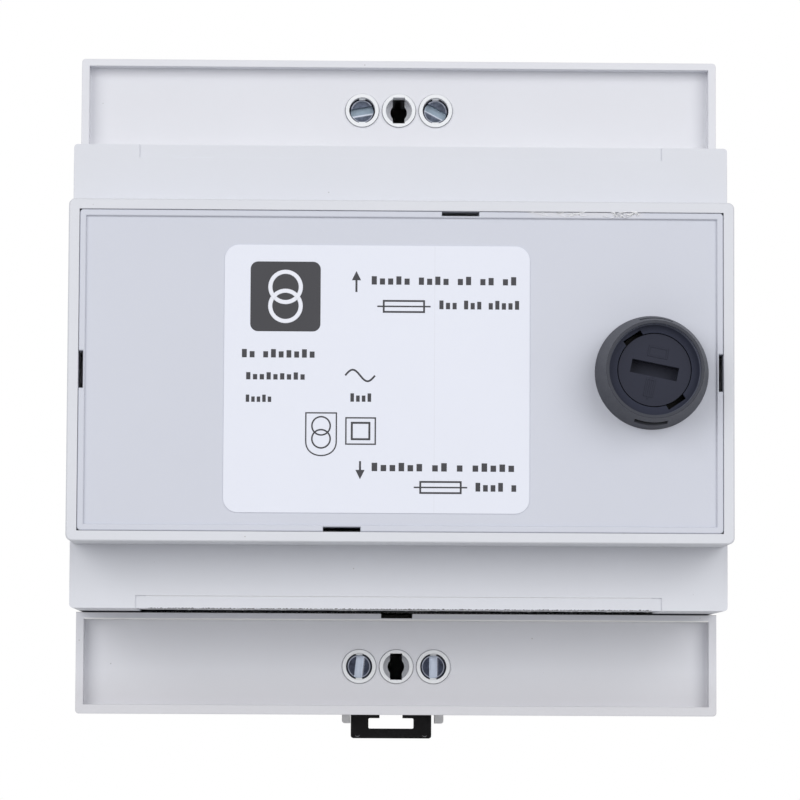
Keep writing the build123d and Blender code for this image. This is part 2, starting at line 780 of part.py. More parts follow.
# Contacts: one behind the fuse, one beside its front end cap
with BuildPart() as fuse_rear_contact:
    with BuildSketch(front(fuse_back - fuse_play)):
        with Locations((fuse_x, 0)):
            Circle(fuse_glass_radius - fuse_glass_wall)
    extrude(amount=-contact_thickness)
    with BuildSketch(front(contact_back)):
        with Locations((fuse_x, 0)):
            Rectangle(contact_width, contact_thickness)
    extrude(amount=fuse_back - fuse_play - contact_back)
save(fuse_rear_contact, "fuse_rear_contact")

with BuildPart() as fuse_side_contact:
    with BuildSketch(front(contact_back)):
        with Locations((fuse_x, side_contact_z)):
            Rectangle(contact_width, contact_thickness)
    extrude(amount=cap_back - cap_neck_length - fuse_play - contact_back)
save(fuse_side_contact, "fuse_side_contact")

# Fuse: a glass tube between two end caps, with its wire inside
with BuildPart() as fuse_glass:
    with BuildSketch(front(fuse_back + fuse_cap_length)):
        with Locations((fuse_x, 0)):
            Circle(fuse_glass_radius)
            Circle(fuse_glass_radius - fuse_glass_wall, mode=Mode.SUBTRACT)
    extrude(amount=fuse_length - 2 * fuse_cap_length)
save(fuse_glass, "fuse_glass")

with BuildPart() as fuse_end_caps:
    for cap_level in (fuse_back, fuse_front - fuse_cap_length):
        with BuildSketch(front(cap_level)):
            with Locations((fuse_x, 0)):
                Circle(fuse_radius)
        extrude(amount=fuse_cap_length)
save(fuse_end_caps, "fuse_end_caps")

with BuildPart() as fuse_wire:
    with BuildSketch(front(fuse_back + fuse_cap_length)):
        with Locations((fuse_x, 0)):
            RegularPolygon(fuse_wire_radius, lead_flat_count)
    extrude(amount=fuse_length - 2 * fuse_cap_length)
save(fuse_wire, "fuse_wire")

# Core: the stacked E and I sheets, with two windows and four screw holes
with BuildPart() as core_laminations:
    with BuildSketch(front(core_back)):
        with Locations((core_x, 0)):
            Rectangle(core_width, core_height)
            with GridLocations(core_width / 2, 0, 2, 1):
                Rectangle(yoke, window_height, mode=Mode.SUBTRACT)
            with GridLocations(core_hole_x, core_hole_z, 2, 2):
                Circle(core_hole_radius, mode=Mode.SUBTRACT)
    extrude(amount=core_stack)
save(core_laminations, "core_laminations")

with BuildPart() as core_screws:
    with BuildSketch(front(core_front)):
        with Locations((core_x, 0)):
            with GridLocations(core_hole_x, core_hole_z, 2, 2):
                RegularPolygon(core_screw_head_radius, 6)
    extrude(amount=core_screw_head_height)
    with BuildSketch(front(core_front)):
        with Locations((core_x, 0)):
            with GridLocations(core_hole_x, core_hole_z, 2, 2):
                Circle(core_screw_radius)
    extrude(amount=-core_stack - core_screw_grip)
save(core_screws, "core_screws")

# Coil: former with two chambers, a winding and a wrap of tape in each, and its pins
former_half_x = yoke + coil_play + former_wall
former_half_y = core_stack / 2 + coil_play + former_wall
flange_half_x = 2 * yoke - coil_play
chamber_room = 2 * flange_z - 3 * former_flange
split_z = flange_z - former_flange - primary_share * chamber_room
chambers = {
    "primary": (split_z, primary_share * chamber_room),
    "secondary": (former_flange - flange_z, (1 - primary_share) * chamber_room),
}
coil_centre = (core_x, -core_mid)


def coil_loop(reach, mode=Mode.ADD):
    """Draw the coil's outline in the current sketch, that far outside the former, with its corners cut."""
    half_x = former_half_x + reach
    half_y = former_half_y + reach
    with Locations(coil_centre):
        Polygon(
            (half_x - coil_corner, half_y),
            (half_x, half_y - coil_corner),
            (half_x, coil_corner - half_y),
            (half_x - coil_corner, -half_y),
            (coil_corner - half_x, -half_y),
            (-half_x, coil_corner - half_y),
            (-half_x, half_y - coil_corner),
            (coil_corner - half_x, half_y),
            mode=mode,
        )


with BuildPart() as coil_former:
    with BuildSketch(Plane.XY.offset(-flange_z)):
        with Locations(coil_centre):
            Rectangle(2 * former_half_x, 2 * former_half_y)
    extrude(amount=2 * flange_z)
    for flange_low in (-flange_z, split_z - former_flange, flange_z - former_flange):
        with BuildSketch(Plane.XY.offset(flange_low)):
            with Locations(coil_centre):
                Rectangle(2 * flange_half_x, coil_front - coil_back)
        extrude(amount=former_flange)
    with BuildSketch(Plane.XY.offset(-flange_z)):
        with Locations(coil_centre):
            Rectangle(2 * (former_half_x - former_wall), 2 * (former_half_y - former_wall))
    extrude(amount=2 * flange_z, mode=Mode.SUBTRACT)
save(coil_former, "coil_former")

for winding_name, (chamber_low, chamber_height) in chambers.items():
    with BuildPart() as winding:
        with BuildSketch(Plane.XY.offset(chamber_low)):
            coil_loop(winding_build)
            with Locations(coil_centre):
                Rectangle(2 * former_half_x, 2 * former_half_y, mode=Mode.SUBTRACT)
        extrude(amount=chamber_height)
    save(winding, f"{winding_name}_winding")
    with BuildPart() as tape:
        with BuildSketch(Plane.XY.offset(chamber_low)):
            coil_loop(winding_build + tape_thickness)
            coil_loop(winding_build + thread_play, Mode.SUBTRACT)
        extrude(amount=chamber_height)
    save(tape, f"{winding_name}_tape")

secondary_pins = {"secondary": -pole_pitch, "fuse": 2 * pole_pitch}
with BuildPart() as coil_pins:
    with BuildSketch(Plane.XY.offset(flange_z)):
        with Locations((-pole_pitch, -lead_front), (pole_pitch, -lead_front)):
            Rectangle(pin_width, pin_width)
    extrude(amount=pin_length)
    with BuildSketch(Plane.XY.offset(-flange_z)):
        for pin_x in secondary_pins.values():
            with Locations((pin_x, -lead_front)):
                Rectangle(pin_width, pin_width)
    extrude(amount=-pin_length)
save(coil_pins, "coil_pins")

# Thermal cut-out lying on the primary's tape, with a wire at each end
cutout_back = coil_front - flange_lip
cutout_z = split_z + primary_share * chamber_room / 2
with BuildPart() as thermal_cutout:
    with BuildSketch(front(cutout_back)):
        with Locations((core_x, cutout_z)):
            Rectangle(cutout_length, cutout_width)
    extrude(amount=cutout_thickness)
    with BuildSketch(Plane.YZ.offset(core_x)):
        with Locations((-cutout_back - cutout_wire_thickness / 2, cutout_z)):
            Rectangle(cutout_wire_thickness, cutout_wire_width)
    extrude(amount=cutout_length / 2 + cutout_wire_length, both=True)
save(thermal_cutout, "thermal_cutout")


# Insulated leads between the coil, the terminals and the fuse
def lead(name, *points):
    """A lead along straight runs with its corners cut, drawn with flats instead of a round skin."""
    ends = [Vector(point) for point in points]
    stops = [ends[0]]
    for before, corner, after in zip(ends, ends[1:], ends[2:]):
        stops.append(corner + (before - corner).normalized() * lead_bend)
        stops.append(corner + (after - corner).normalized() * lead_bend)
    stops.append(ends[-1])
    with BuildPart() as wire:
        with BuildLine() as route:
            Polyline(*stops)
        with BuildSketch(Plane(origin=route.line @ 0, z_dir=route.line % 0)):
            RegularPolygon(lead_radius, lead_flat_count)
        sweep(transition=Transition.RIGHT)
    save(wire, name)


pin_end = flange_z + pin_length
run_z = core_height / 2 + 2 * lead_radius
return_x = fuse_x + barrel_radius - lead_radius / 2
lead("primary_left_lead", (-pole_pitch, -lead_front, pin_end), (-pole_pitch, -lead_front, tail_z))
lead("primary_right_lead", (pole_pitch, -lead_front, pin_end), (pole_pitch, -lead_front, tail_z))
lead("secondary_lead", (-pole_pitch, -lead_front, -pin_end), (-pole_pitch, -lead_front, -tail_z))
lead(
    "fuse_feed_lead",
    (secondary_pins["fuse"], -lead_front, -pin_end),
    (secondary_pins["fuse"], -lead_front, -run_z),
    (fuse_x, -lead_front, -run_z),
    (fuse_x, -lead_front, 0),
    (fuse_x, -contact_back, 0),
)
lead(
    "fuse_return_lead",
    (fuse_x, -contact_back, side_contact_z),
    (fuse_x, -contact_back + 2 * lead_bend, side_contact_z),
    (return_x, -lead_front, side_contact_z - 3 * lead_bend),
    (return_x, -lead_front, -tail_z),
    (pole_pitch + bar_width / 2, -lead_front, -tail_z),
)
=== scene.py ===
# %% [markdown]
# # A transformer for the mounting rail
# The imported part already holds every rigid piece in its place, so this lesson leaves those shapes alone.
# It gives each piece its material and adds the few things that are too thin for solid modelling: the ink on the
# label, the raised marks on the fuse cap and the clip, and the burrs on two torn edges. Then it sets floor, light
# and camera.

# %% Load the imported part
import math

import bpy
import numpy as np
from mathutils import Matrix, Vector


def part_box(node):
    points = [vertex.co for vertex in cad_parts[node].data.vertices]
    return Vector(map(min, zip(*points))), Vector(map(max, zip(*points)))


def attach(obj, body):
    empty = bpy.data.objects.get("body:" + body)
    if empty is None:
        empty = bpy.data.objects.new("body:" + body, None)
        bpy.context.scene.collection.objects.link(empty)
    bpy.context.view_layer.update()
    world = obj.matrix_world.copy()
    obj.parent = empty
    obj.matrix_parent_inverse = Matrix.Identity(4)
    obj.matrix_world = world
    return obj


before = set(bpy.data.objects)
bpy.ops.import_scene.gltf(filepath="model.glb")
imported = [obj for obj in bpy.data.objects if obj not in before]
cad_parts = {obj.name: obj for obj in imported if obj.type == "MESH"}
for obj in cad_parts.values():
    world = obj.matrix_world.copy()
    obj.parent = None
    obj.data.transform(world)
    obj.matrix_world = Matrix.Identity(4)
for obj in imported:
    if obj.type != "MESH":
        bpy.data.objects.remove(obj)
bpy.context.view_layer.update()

# %% [markdown]
# ## Millimetres, colours and nodes
# The frame is in metres while a maker thinks in millimetres, so one factor joins the two. Colours are picked as
# sRGB codes, but a shader counts light, and light grows faster than the code, so one function turns the one
# into the other. Nodes could be made line by line; a single small function keeps each of them to one call. A worn or
# dirty place, and each place of painted light or painted shade, is one more coat of colour over the last one, and a
# mask from 0 to 1 says where it lies. Several masks depend on how far a point lies from a screw's or the fuse's axis.
# Folding the space at the middle between two such axes, with an absolute value, lets one distance serve both.

# %% Small helpers
MM = 0.001


def linear(code, share=1.0):
    """An sRGB hex code as linear light, c / 12.92 or ((c + 0.055) / 1.055) ** 2.4, times a share."""
    srgb = np.array([int(code[i:i + 2], 16) / 255 for i in (1, 3, 5)])
    light = np.where(srgb <= 0.04045, srgb / 12.92, ((srgb + 0.055) / 1.055) ** 2.4)
    return (*np.minimum(light * share, 1.0).tolist(), 1.0)


def fill(tree, node, sockets):
    """Sets each named or numbered input of a node to a value, or links it to another node's output."""
    for key, value in sockets.items():
        if isinstance(value, bpy.types.NodeSocket):
            tree.links.new(value, node.inputs[key])
        else:
            node.inputs[key].default_value = value


def add(tree, kind, sockets, **settings):
    """Adds a node of that kind with its settings, fills its inputs and returns it."""
    node = tree.nodes.new(kind)
    for key, value in settings.items():
        setattr(node, key, value)
    fill(tree, node, sockets)
    return node


def per_metre(size):
    """How many times a pattern of that size in millimetres repeats in a metre, for a texture's Scale."""
    return 1 / (size * MM)


def off_axis(tree, place, middle, reach):
    """Distance in metres to the nearest line along Y through middle +- reach, (across, up) pairs in mm.

    With p the place flattened to Y = 0 and m the middle, it is the length of |p - m| - reach.
    """
    shift = add(tree, "ShaderNodeVectorMath", {0: place, 1: (middle[0] * MM, 0, middle[1] * MM)}, operation="SUBTRACT")
    fold = add(tree, "ShaderNodeVectorMath", {0: shift.outputs["Vector"]}, operation="ABSOLUTE")
    flat = add(tree, "ShaderNodeVectorMath", {
        0: fold.outputs["Vector"], 1: (1, 0, 1), 2: (-reach[0] * MM, 0, -reach[1] * MM),
    }, operation="MULTIPLY_ADD")
    return add(tree, "ShaderNodeVectorMath", {0: flat.outputs["Vector"]}, operation="LENGTH").outputs["Value"]


# The colour inputs and the colour output of a Mix node go by number, because its names repeat.
MIX_FACTOR, MIX_A, MIX_B, MIX_RESULT = 0, 6, 7, 2


def coat(tree, shader, mask, colour):
    """Covers what the surface shows so far with a colour, as far as the mask says, and leaves it on the shader."""
    below = shader.inputs["Base Color"].links[0].from_socket
    covered = add(tree, "ShaderNodeMix", {MIX_FACTOR: mask, MIX_A: below, MIX_B: linear(colour)}, data_type="RGBA")
    fill(tree, shader, {"Base Color": covered.outputs[MIX_RESULT]})


print("grain of 0.25 mm repeats", per_metre(0.25), "times a metre")

# %% [markdown]
# ## Moulded plastic
# The case, the panel, the terminal blocks, the clip and the fuse holder are injection moulded. What the eye reads
# as plastic is a fine spark-eroded grain copied from the mould, a colour that drifts a little where the melt
# flowed, and edges that are never quite sharp. The real grain is too fine to show, so it is drawn at about a third of
# a millimetre. A Bevel node rounds the edges in the shading alone, so the solids keep their true shape. All of these
# differ only in size and colour, so one function makes them all.

# %% The shared recipe for moulded plastic
FLOW_CLOUD = 14.0
GLOSS_SWING = 0.07
EDGE_SAMPLES = 6


def start_material(name):
    """A material with its surface shader and the piece's own coordinates, in metres."""
    material = bpy.data.materials.new(name)
    material.use_nodes = True
    tree = material.node_tree
    place = add(tree, "ShaderNodeTexCoord", {}).outputs["Object"]
    return material, tree, tree.nodes["Principled BSDF"], place


def moulded_plastic(name, colour, roughness, grain=0.3, depth=0.003, edge=0.12, drift=0.02, shine=0.5):
    """Moulded plastic: grain size, grain depth and edge radius in mm, drift as a share of the colour."""
    material, tree, shader, place = start_material(name)
    cloud = add(tree, "ShaderNodeTexNoise", {"Vector": place, "Scale": per_metre(FLOW_CLOUD), "Detail": 2.0})
    grit = add(tree, "ShaderNodeTexNoise", {"Vector": place, "Scale": per_metre(grain), "Detail": 3.0})
    tint = add(tree, "ShaderNodeMix", {
        MIX_FACTOR: cloud.outputs["Fac"],
        MIX_A: linear(colour, 1 - drift),
        MIX_B: linear(colour, 1 + drift),
    }, data_type="RGBA")
    gloss = add(tree, "ShaderNodeMapRange", {
        "Value": grit.outputs["Fac"],
        "To Min": roughness - GLOSS_SWING,
        "To Max": roughness + GLOSS_SWING,
    })
    soft_edge = add(tree, "ShaderNodeBevel", {"Radius": edge * MM}, samples=EDGE_SAMPLES)
    relief = add(tree, "ShaderNodeBump", {
        "Height": grit.outputs["Fac"],
        "Strength": 1.0,
        "Distance": depth * MM,
        "Normal": soft_edge.outputs["Normal"],
    })
    fill(tree, shader, {
        "Base Color": tint.outputs[MIX_RESULT],
        "Roughness": gloss.outputs["Result"],
        "Specular IOR Level": shine,
        "Normal": relief.outputs["Normal"],
    })
    return material, tree, shader, place


print("grain, flow cloud of", FLOW_CLOUD, "mm and soft edges are ready")

# %% [markdown]
# ## The grey case
# Cover, guards and base are a light grey, slightly cool, self-extinguishing plastic, the guards a little paler. The
# base is painted paler and more neutral than the cover, as painted light on its tabs, which lie in the case's shade.
# Years on a shelf leave a few specks of dust in the grain, so a sparse cell pattern darkens single spots about a fifth
# of a millimetre wide. A cell's point must lie within that of the surface to show, so cells of 3 mm put roughly forty
# specks on the front, about as many as can be seen.

# %% Grey plastic with dust
DUST_SPACING, DUST_RADIUS = 3.0, 0.1
DUST_CORE, DUST_STRENGTH = 0.6, 0.6
CASE_EDGE = 0.15


def dusty_plastic(name, colour):
    """Moulded plastic with darker specks, one to a cell of the pattern where the cell's point meets the surface."""
    material, tree, shader, place = moulded_plastic(name, colour, roughness=0.48, edge=CASE_EDGE)
    cells = add(tree, "ShaderNodeTexVoronoi", {"Vector": place, "Scale": per_metre(DUST_SPACING)})
    speck = add(tree, "ShaderNodeMapRange", {
        "Value": cells.outputs["Distance"],
        "From Min": DUST_CORE * DUST_RADIUS / DUST_SPACING,
        "From Max": DUST_RADIUS / DUST_SPACING,
        "To Min": DUST_STRENGTH,
        "To Max": 0.0,
    })
    coat(tree, shader, speck.outputs["Result"], "#8E8C88")
    return material, tree, shader, place


# The base's colour is painted paler than the cover's, as painted light for its shaded tabs.
base_plastic = dusty_plastic("grey_base_plastic_painted_paler", "#E0E0E2")[0]
print("made", base_plastic.name, "with specks", 2 * DUST_RADIUS, "mm wide")

# %% [markdown]
# ## The cover and its strips
# A shallow strip runs along each end of the cover. Its edges are cut sharp, so near the ends the soft edge shrinks to
# a fiftieth of a millimetre. A pale line is painted along the lower strip's upper edge, a painted highlight that thins
# the shadow of its step. Below, that strip ends in a torn edge whose gap is painted black, as painted shade: a fine
# noise shifts the height at which the black begins, and that makes it ragged. Where the upper level of one mask is
# another mask's result, a point has to lie in both, so neither runs past the strip's ends.

# %% Sharper edges near the strips
SHARP_START, SHARP_END, SHARP_EDGE = 28.0, 29.0, 0.02

housing_plastic, tree, shader, place = dusty_plastic("grey_housing_plastic", "#D7D9E0")
axes = add(tree, "ShaderNodeSeparateXYZ", {"Vector": place})
height = add(tree, "ShaderNodeMath", {0: axes.outputs["Z"]}, operation="ABSOLUTE")
edge_radius = add(tree, "ShaderNodeMapRange", {
    "Value": height.outputs["Value"],
    "From Min": SHARP_START * MM,
    "From Max": SHARP_END * MM,
    "To Min": CASE_EDGE * MM,
    "To Max": SHARP_EDGE * MM,
})
relief = shader.inputs["Normal"].links[0].from_node
fill(tree, relief.inputs["Normal"].links[0].from_node, {"Radius": edge_radius.outputs["Result"]})
print("edges of", housing_plastic.name, "shrink from", CASE_EDGE, "to", SHARP_EDGE, "mm")

# %% The lower strip's painted highlight and the painted shade at its torn edge
STRIP_REACH, STRIP_FADE = 33.7, 0.3
STRIP_LINE, STRIP_LINE_CORE, STRIP_LINE_REACH = -29.35, 0.04, 0.08
TEAR_GRAIN, TEAR_DEPTH = 0.25, 0.2
TEAR_START, TEAR_FULL = -31.12, -31.2

across = add(tree, "ShaderNodeMath", {0: axes.outputs["X"]}, operation="ABSOLUTE")
along = add(tree, "ShaderNodeMapRange", {
    "Value": across.outputs["Value"],
    "From Min": (STRIP_REACH - STRIP_FADE) * MM,
    "From Max": STRIP_REACH * MM,
    "To Min": 1.0,
    "To Max": 0.0,
})
offset = add(tree, "ShaderNodeMath", {0: axes.outputs["Z"], 1: STRIP_LINE * MM}, operation="SUBTRACT")
beside = add(tree, "ShaderNodeMath", {0: offset.outputs["Value"]}, operation="ABSOLUTE")
# Painted highlight: a pale line just below the strip's step.
painted_highlight = add(tree, "ShaderNodeMapRange", {
    "Value": beside.outputs["Value"],
    "From Min": STRIP_LINE_CORE * MM,
    "From Max": STRIP_LINE_REACH * MM,
    "To Min": along.outputs["Result"],
    "To Max": 0.0,
})
coat(tree, shader, painted_highlight.outputs["Result"], "#ECEDF1")
# Painted shade: the gap under the torn edge is painted black, with a ragged top.
ragged = add(tree, "ShaderNodeTexNoise", {"Vector": place, "Scale": per_metre(TEAR_GRAIN), "Detail": 2.0})
jagged = add(tree, "ShaderNodeMath", {
    0: ragged.outputs["Fac"], 1: -2 * TEAR_DEPTH * MM, 2: axes.outputs["Z"],
}, operation="MULTIPLY_ADD")
torn = add(tree, "ShaderNodeMapRange", {
    "Value": jagged.outputs["Value"],
    "From Min": TEAR_START * MM,
    "From Max": TEAR_FULL * MM,
    "To Max": along.outputs["Result"],
})
coat(tree, shader, torn.outputs["Result"], "#1A1A1C")
print("torn edge", 2 * STRIP_REACH, "mm long, ragged by", TEAR_DEPTH, "mm")

# %% [markdown]
# ## The terminal guards
# The lower guard is painted darker towards its end, as painted shade. The edge of the bar that faces into each tray
# carries a pale painted highlight, and the edge that faces the cover carries a thin black line and is black inside its
# pry notch, as painted shade in the gap and the notch. The rest of the guard is clean, so every mask is a window in X,
# Y or Z with soft ends.

# %% Guard plastic with painted shade and a painted highlight
LOW_SHADE_START, LOW_SHADE_END = -39.0, -42.5
BAR_LINE, BAR_LINE_CORE, BAR_LINE_REACH = 32.06, 0.06, 0.12
TRAY_SIDE, TRAY_FADE = 42.7, 0.1

guard_plastic, tree, shader, place = dusty_plastic("paler_guard_plastic", "#DCDDE3")
axes = add(tree, "ShaderNodeSeparateXYZ", {"Vector": place})
height = add(tree, "ShaderNodeMath", {0: axes.outputs["Z"]}, operation="ABSOLUTE")
across = add(tree, "ShaderNodeMath", {0: axes.outputs["X"]}, operation="ABSOLUTE")
# Painted shade: darker towards the lower guard's end.
lower_end_shade = add(tree, "ShaderNodeMapRange", {
    "Value": axes.outputs["Z"], "From Min": LOW_SHADE_START * MM, "From Max": LOW_SHADE_END * MM,
})
coat(tree, shader, lower_end_shade.outputs["Result"], "#D1D1D6")
within = add(tree, "ShaderNodeMapRange", {
    "Value": across.outputs["Value"],
    "From Min": (TRAY_SIDE - TRAY_FADE) * MM,
    "From Max": TRAY_SIDE * MM,
    "To Min": 1.0,
    "To Max": 0.0,
})
# Painted highlight: a pale line along the inner edge of each bar.
offset = add(tree, "ShaderNodeMath", {0: height.outputs["Value"], 1: BAR_LINE * MM}, operation="SUBTRACT")
beside = add(tree, "ShaderNodeMath", {0: offset.outputs["Value"]}, operation="ABSOLUTE")
painted_highlight = add(tree, "ShaderNodeMapRange", {
    "Value": beside.outputs["Value"],
    "From Min": BAR_LINE_CORE * MM,
    "From Max": BAR_LINE_REACH * MM,
    "To Min": within.outputs["Result"],
    "To Max": 0.0,
})
coat(tree, shader, painted_highlight.outputs["Result"], "#FFFFFF")
print("made", guard_plastic.name, "with a pale edge", 2 * BAR_LINE_REACH, "mm wide")

# %% Painted shade at the guards' inner edges
NOTCH_REACH, NOTCH_FLOOR, NOTCH_FADE = 2.2, 31.83, 0.05
NOTCH_START, NOTCH_DEEP = -27.9, -27.5
GUARD_EDGE, GAP_SHADE_LINE = 31.18, 0.08

between = add(tree, "ShaderNodeMapRange", {
    "Value": across.outputs["Value"],
    "From Min": NOTCH_REACH * MM,
    "From Max": (NOTCH_REACH + NOTCH_FADE) * MM,
    "To Min": 1.0,
    "To Max": 0.0,
})
inner = add(tree, "ShaderNodeMapRange", {
    "Value": height.outputs["Value"],
    "From Min": NOTCH_FLOOR * MM,
    "From Max": (NOTCH_FLOOR + NOTCH_FADE) * MM,
    "To Min": between.outputs["Result"],
    "To Max": 0.0,
})
notch = add(tree, "ShaderNodeMapRange", {
    "Value": axes.outputs["Y"],
    "From Min": NOTCH_START * MM,
    "From Max": NOTCH_DEEP * MM,
    "To Max": inner.outputs["Result"],
})
line = add(tree, "ShaderNodeMapRange", {
    "Value": height.outputs["Value"],
    "From Min": GUARD_EDGE * MM,
    "From Max": (GUARD_EDGE + GAP_SHADE_LINE) * MM,
    "To Min": 1.0,
    "To Max": 0.0,
})
# Painted shade: black in the pry notches and along the gap to the cover.
painted_shade = add(tree, "ShaderNodeMath", {0: notch.outputs["Result"], 1: line.outputs["Result"]}, operation="MAXIMUM")
coat(tree, shader, painted_shade.outputs["Value"], "#0E0E10")
print("dirt in notches", 2 * NOTCH_REACH, "mm wide and along a line of", GAP_SHADE_LINE, "mm")

# %% [markdown]
# ## The worn front panel
# The panel is the same family of plastic in a bluer batch. A tool has scraped its upper rim right of the middle,
# which left a rough, paler stretch. The wear has its own place on the piece, so the material reads the Object
# coordinates: a window in X and Z, with soft ends, lets a coarse noise through only there.

# %% Panel plastic with its scuffed rim
WEAR_LEFT, WEAR_RIGHT, WEAR_FULL = 16.5, 32.0, 0.85
WEAR_LOW, WEAR_HIGH = 20.1, 21.4
WEAR_GRAIN, WEAR_DEPTH = 0.5, 0.12

panel_plastic, tree, shader, place = moulded_plastic("blue_grey_panel_plastic", "#CCCFDA", roughness=0.45)
axes = add(tree, "ShaderNodeSeparateXYZ", {"Vector": place})
along = add(tree, "ShaderNodeMapRange", {
    "Value": axes.outputs["X"],
    "From Min": WEAR_LEFT * MM,
    "From Max": WEAR_RIGHT * MM,
    "To Min": -1.0,
    "To Max": 1.0,
}, clamp=False)
middle = add(tree, "ShaderNodeMath", {0: along.outputs["Result"]}, operation="ABSOLUTE")
inside = add(tree, "ShaderNodeMapRange", {
    "Value": middle.outputs["Value"], "From Min": WEAR_FULL, "From Max": 1.0, "To Min": 1.0, "To Max": 0.0,
})
worn_here = add(tree, "ShaderNodeMapRange", {
    "Value": axes.outputs["Z"], "From Min": WEAR_LOW * MM, "From Max": WEAR_HIGH * MM,
    "To Max": inside.outputs["Result"],
})
scrape = add(tree, "ShaderNodeTexNoise", {"Vector": place, "Scale": per_metre(WEAR_GRAIN), "Detail": 4.0})
wear_and_highlight = add(tree, "ShaderNodeMath", {
    0: worn_here.outputs["Result"], 1: scrape.outputs["Fac"],
}, operation="MULTIPLY")
coat(tree, shader, wear_and_highlight.outputs["Value"], "#E4E1E0")
scraped = add(tree, "ShaderNodeBump", {
    "Height": wear_and_highlight.outputs["Value"],
    "Strength": 1.0,
    "Distance": WEAR_DEPTH * MM,
    "Normal": shader.inputs["Normal"].links[0].from_socket,
})
fill(tree, shader, {"Normal": scraped.outputs["Normal"]})
print("made", panel_plastic.name, "with wear", WEAR_RIGHT - WEAR_LEFT, "mm long")

# %% [markdown]
# ## The terminal blocks and the inner plastics
# The terminal blocks are natural polyamide, whiter than the case. The middle pole of each row is empty, and its keyhole
# is painted darker as painted shade, so there the colour follows the depth: grey on the web, black behind it. The coil
# former, the cut-out's case and the wires' insulation are hidden in the closed case and only need to be plausible.

# %% Terminal and inner plastics
POLE_PITCH, POLE_HEIGHT = 5.08, 38.4
KEYHOLE_RADIUS, KEYHOLE_FADE = 2.25, 0.1
WEB_START, WEB_FRONT = -24.6, -23.95
HOLE_START, HOLE_DEEP = -23.88, -23.78

terminal_plastic, tree, shader, place = moulded_plastic("natural_polyamide", "#E8EAED", roughness=0.42, edge=0.08)
near = add(tree, "ShaderNodeMapRange", {
    "Value": off_axis(tree, place, (0, 0), (0, POLE_HEIGHT)),
    "From Min": KEYHOLE_RADIUS * MM,
    "From Max": (KEYHOLE_RADIUS + KEYHOLE_FADE) * MM,
    "To Min": 1.0,
    "To Max": 0.0,
})
axes = add(tree, "ShaderNodeSeparateXYZ", {"Vector": place})
# Painted shade in the empty pole's keyhole: grey on the web, black behind it.
for start, end, colour in [(WEB_START, WEB_FRONT, "#C2C4C9"), (HOLE_START, HOLE_DEEP, "#1A1A1C")]:
    depth = add(tree, "ShaderNodeMapRange", {
        "Value": axes.outputs["Y"], "From Min": start * MM, "From Max": end * MM, "To Max": near.outputs["Result"],
    })
    coat(tree, shader, depth.outputs["Result"], colour)
former_plastic = moulded_plastic("glass_filled_former_plastic", "#2B2A29", roughness=0.55)[0]
cutout_plastic = moulded_plastic("cut_out_case_plastic", "#E6E2D6", roughness=0.4)[0]
lead_plastic = moulded_plastic("pvc_lead_insulation", "#2D4F86", roughness=0.35)[0]
print("made", len(bpy.data.materials), "materials so far")

# %% [markdown]
# ## The black rail clip
# The clip is glass-filled polyamide, nearly black. In a white room a dark surface greys through what it mirrors, so the
# black plastics shine less. Its grain is coarser than the case's, from the short fibres under the skin.

# %% Clip plastic
clip_plastic = moulded_plastic("black_polyamide", "#161517", roughness=0.42, grain=0.4, depth=0.006, drift=0.08,
                               shine=0.15)[0]
print("made", clip_plastic.name)

# %% [markdown]
# ## The fuse holder
# Holder and cap are a bluish black thermoset. The cone of the bezel is a paler, plainer grey, while the recess behind
# its rim keeps a darker colour as painted shade, and the distance from the fuse's axis tells the two apart. Inside the
# rim the wall that faces the cap is painted paler, as painted light. The slits and the bayonet's entries are painted
# black, as painted shade. They are what lies behind the recess and well inside the cone, whose radius grows evenly with
# the depth.

# %% Fuse holder plastics
CAP_LOW, CAP_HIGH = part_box("fuse_cap")
CAP_X = (CAP_LOW.x + CAP_HIGH.x) / 2
RIM_INSIDE, RIM_OUTSIDE = 5.85, 6.0

cap_plastic = moulded_plastic("bluish_black_thermoset", "#2F313D", roughness=0.5, edge=0.1, drift=0.05, shine=0.12)[0]
bezel_plastic, tree, shader, place = moulded_plastic("black_thermoset_painted_light_and_shade", "#232738", roughness=0.46, edge=0.15,
                                                     drift=0.05, shine=0.2)
radius = off_axis(tree, place, (CAP_X / MM, 0), (0, 0))
outside = add(tree, "ShaderNodeMapRange", {
    "Value": radius, "From Min": RIM_INSIDE * MM, "From Max": RIM_OUTSIDE * MM,
})
# The cone outside the rim takes the paler grey; the recess keeps the darker colour, as painted shade.
coat(tree, shader, outside.outputs["Result"], "#3D3F47")
print("made", cap_plastic.name, "and", bezel_plastic.name)

# %% The bezel's inner wall and hollows: painted light and painted shade
CONE_FRONT, CONE_BACK = -58.53, -52.53
CONE_SMALL, CONE_LARGE = 6.4, 7.5
WALL_START, WALL_FULL = 0.42, 0.48
RECESS_FLOOR = -57.03
HOLLOW_START, HOLLOW_FULL = 0.1, 0.4

axes = add(tree, "ShaderNodeSeparateXYZ", {"Vector": place})
cone = add(tree, "ShaderNodeMapRange", {
    "Value": axes.outputs["Y"],
    "From Min": CONE_FRONT * MM,
    "From Max": CONE_BACK * MM,
    "To Min": CONE_SMALL * MM,
    "To Max": CONE_LARGE * MM,
})
inset = add(tree, "ShaderNodeMath", {0: cone.outputs["Result"], 1: radius}, operation="SUBTRACT")
inner_wall = add(tree, "ShaderNodeMapRange", {
    "Value": inset.outputs["Value"],
    "From Min": WALL_START * MM,
    "From Max": WALL_FULL * MM,
    "To Max": outside.outputs["Result"],
})
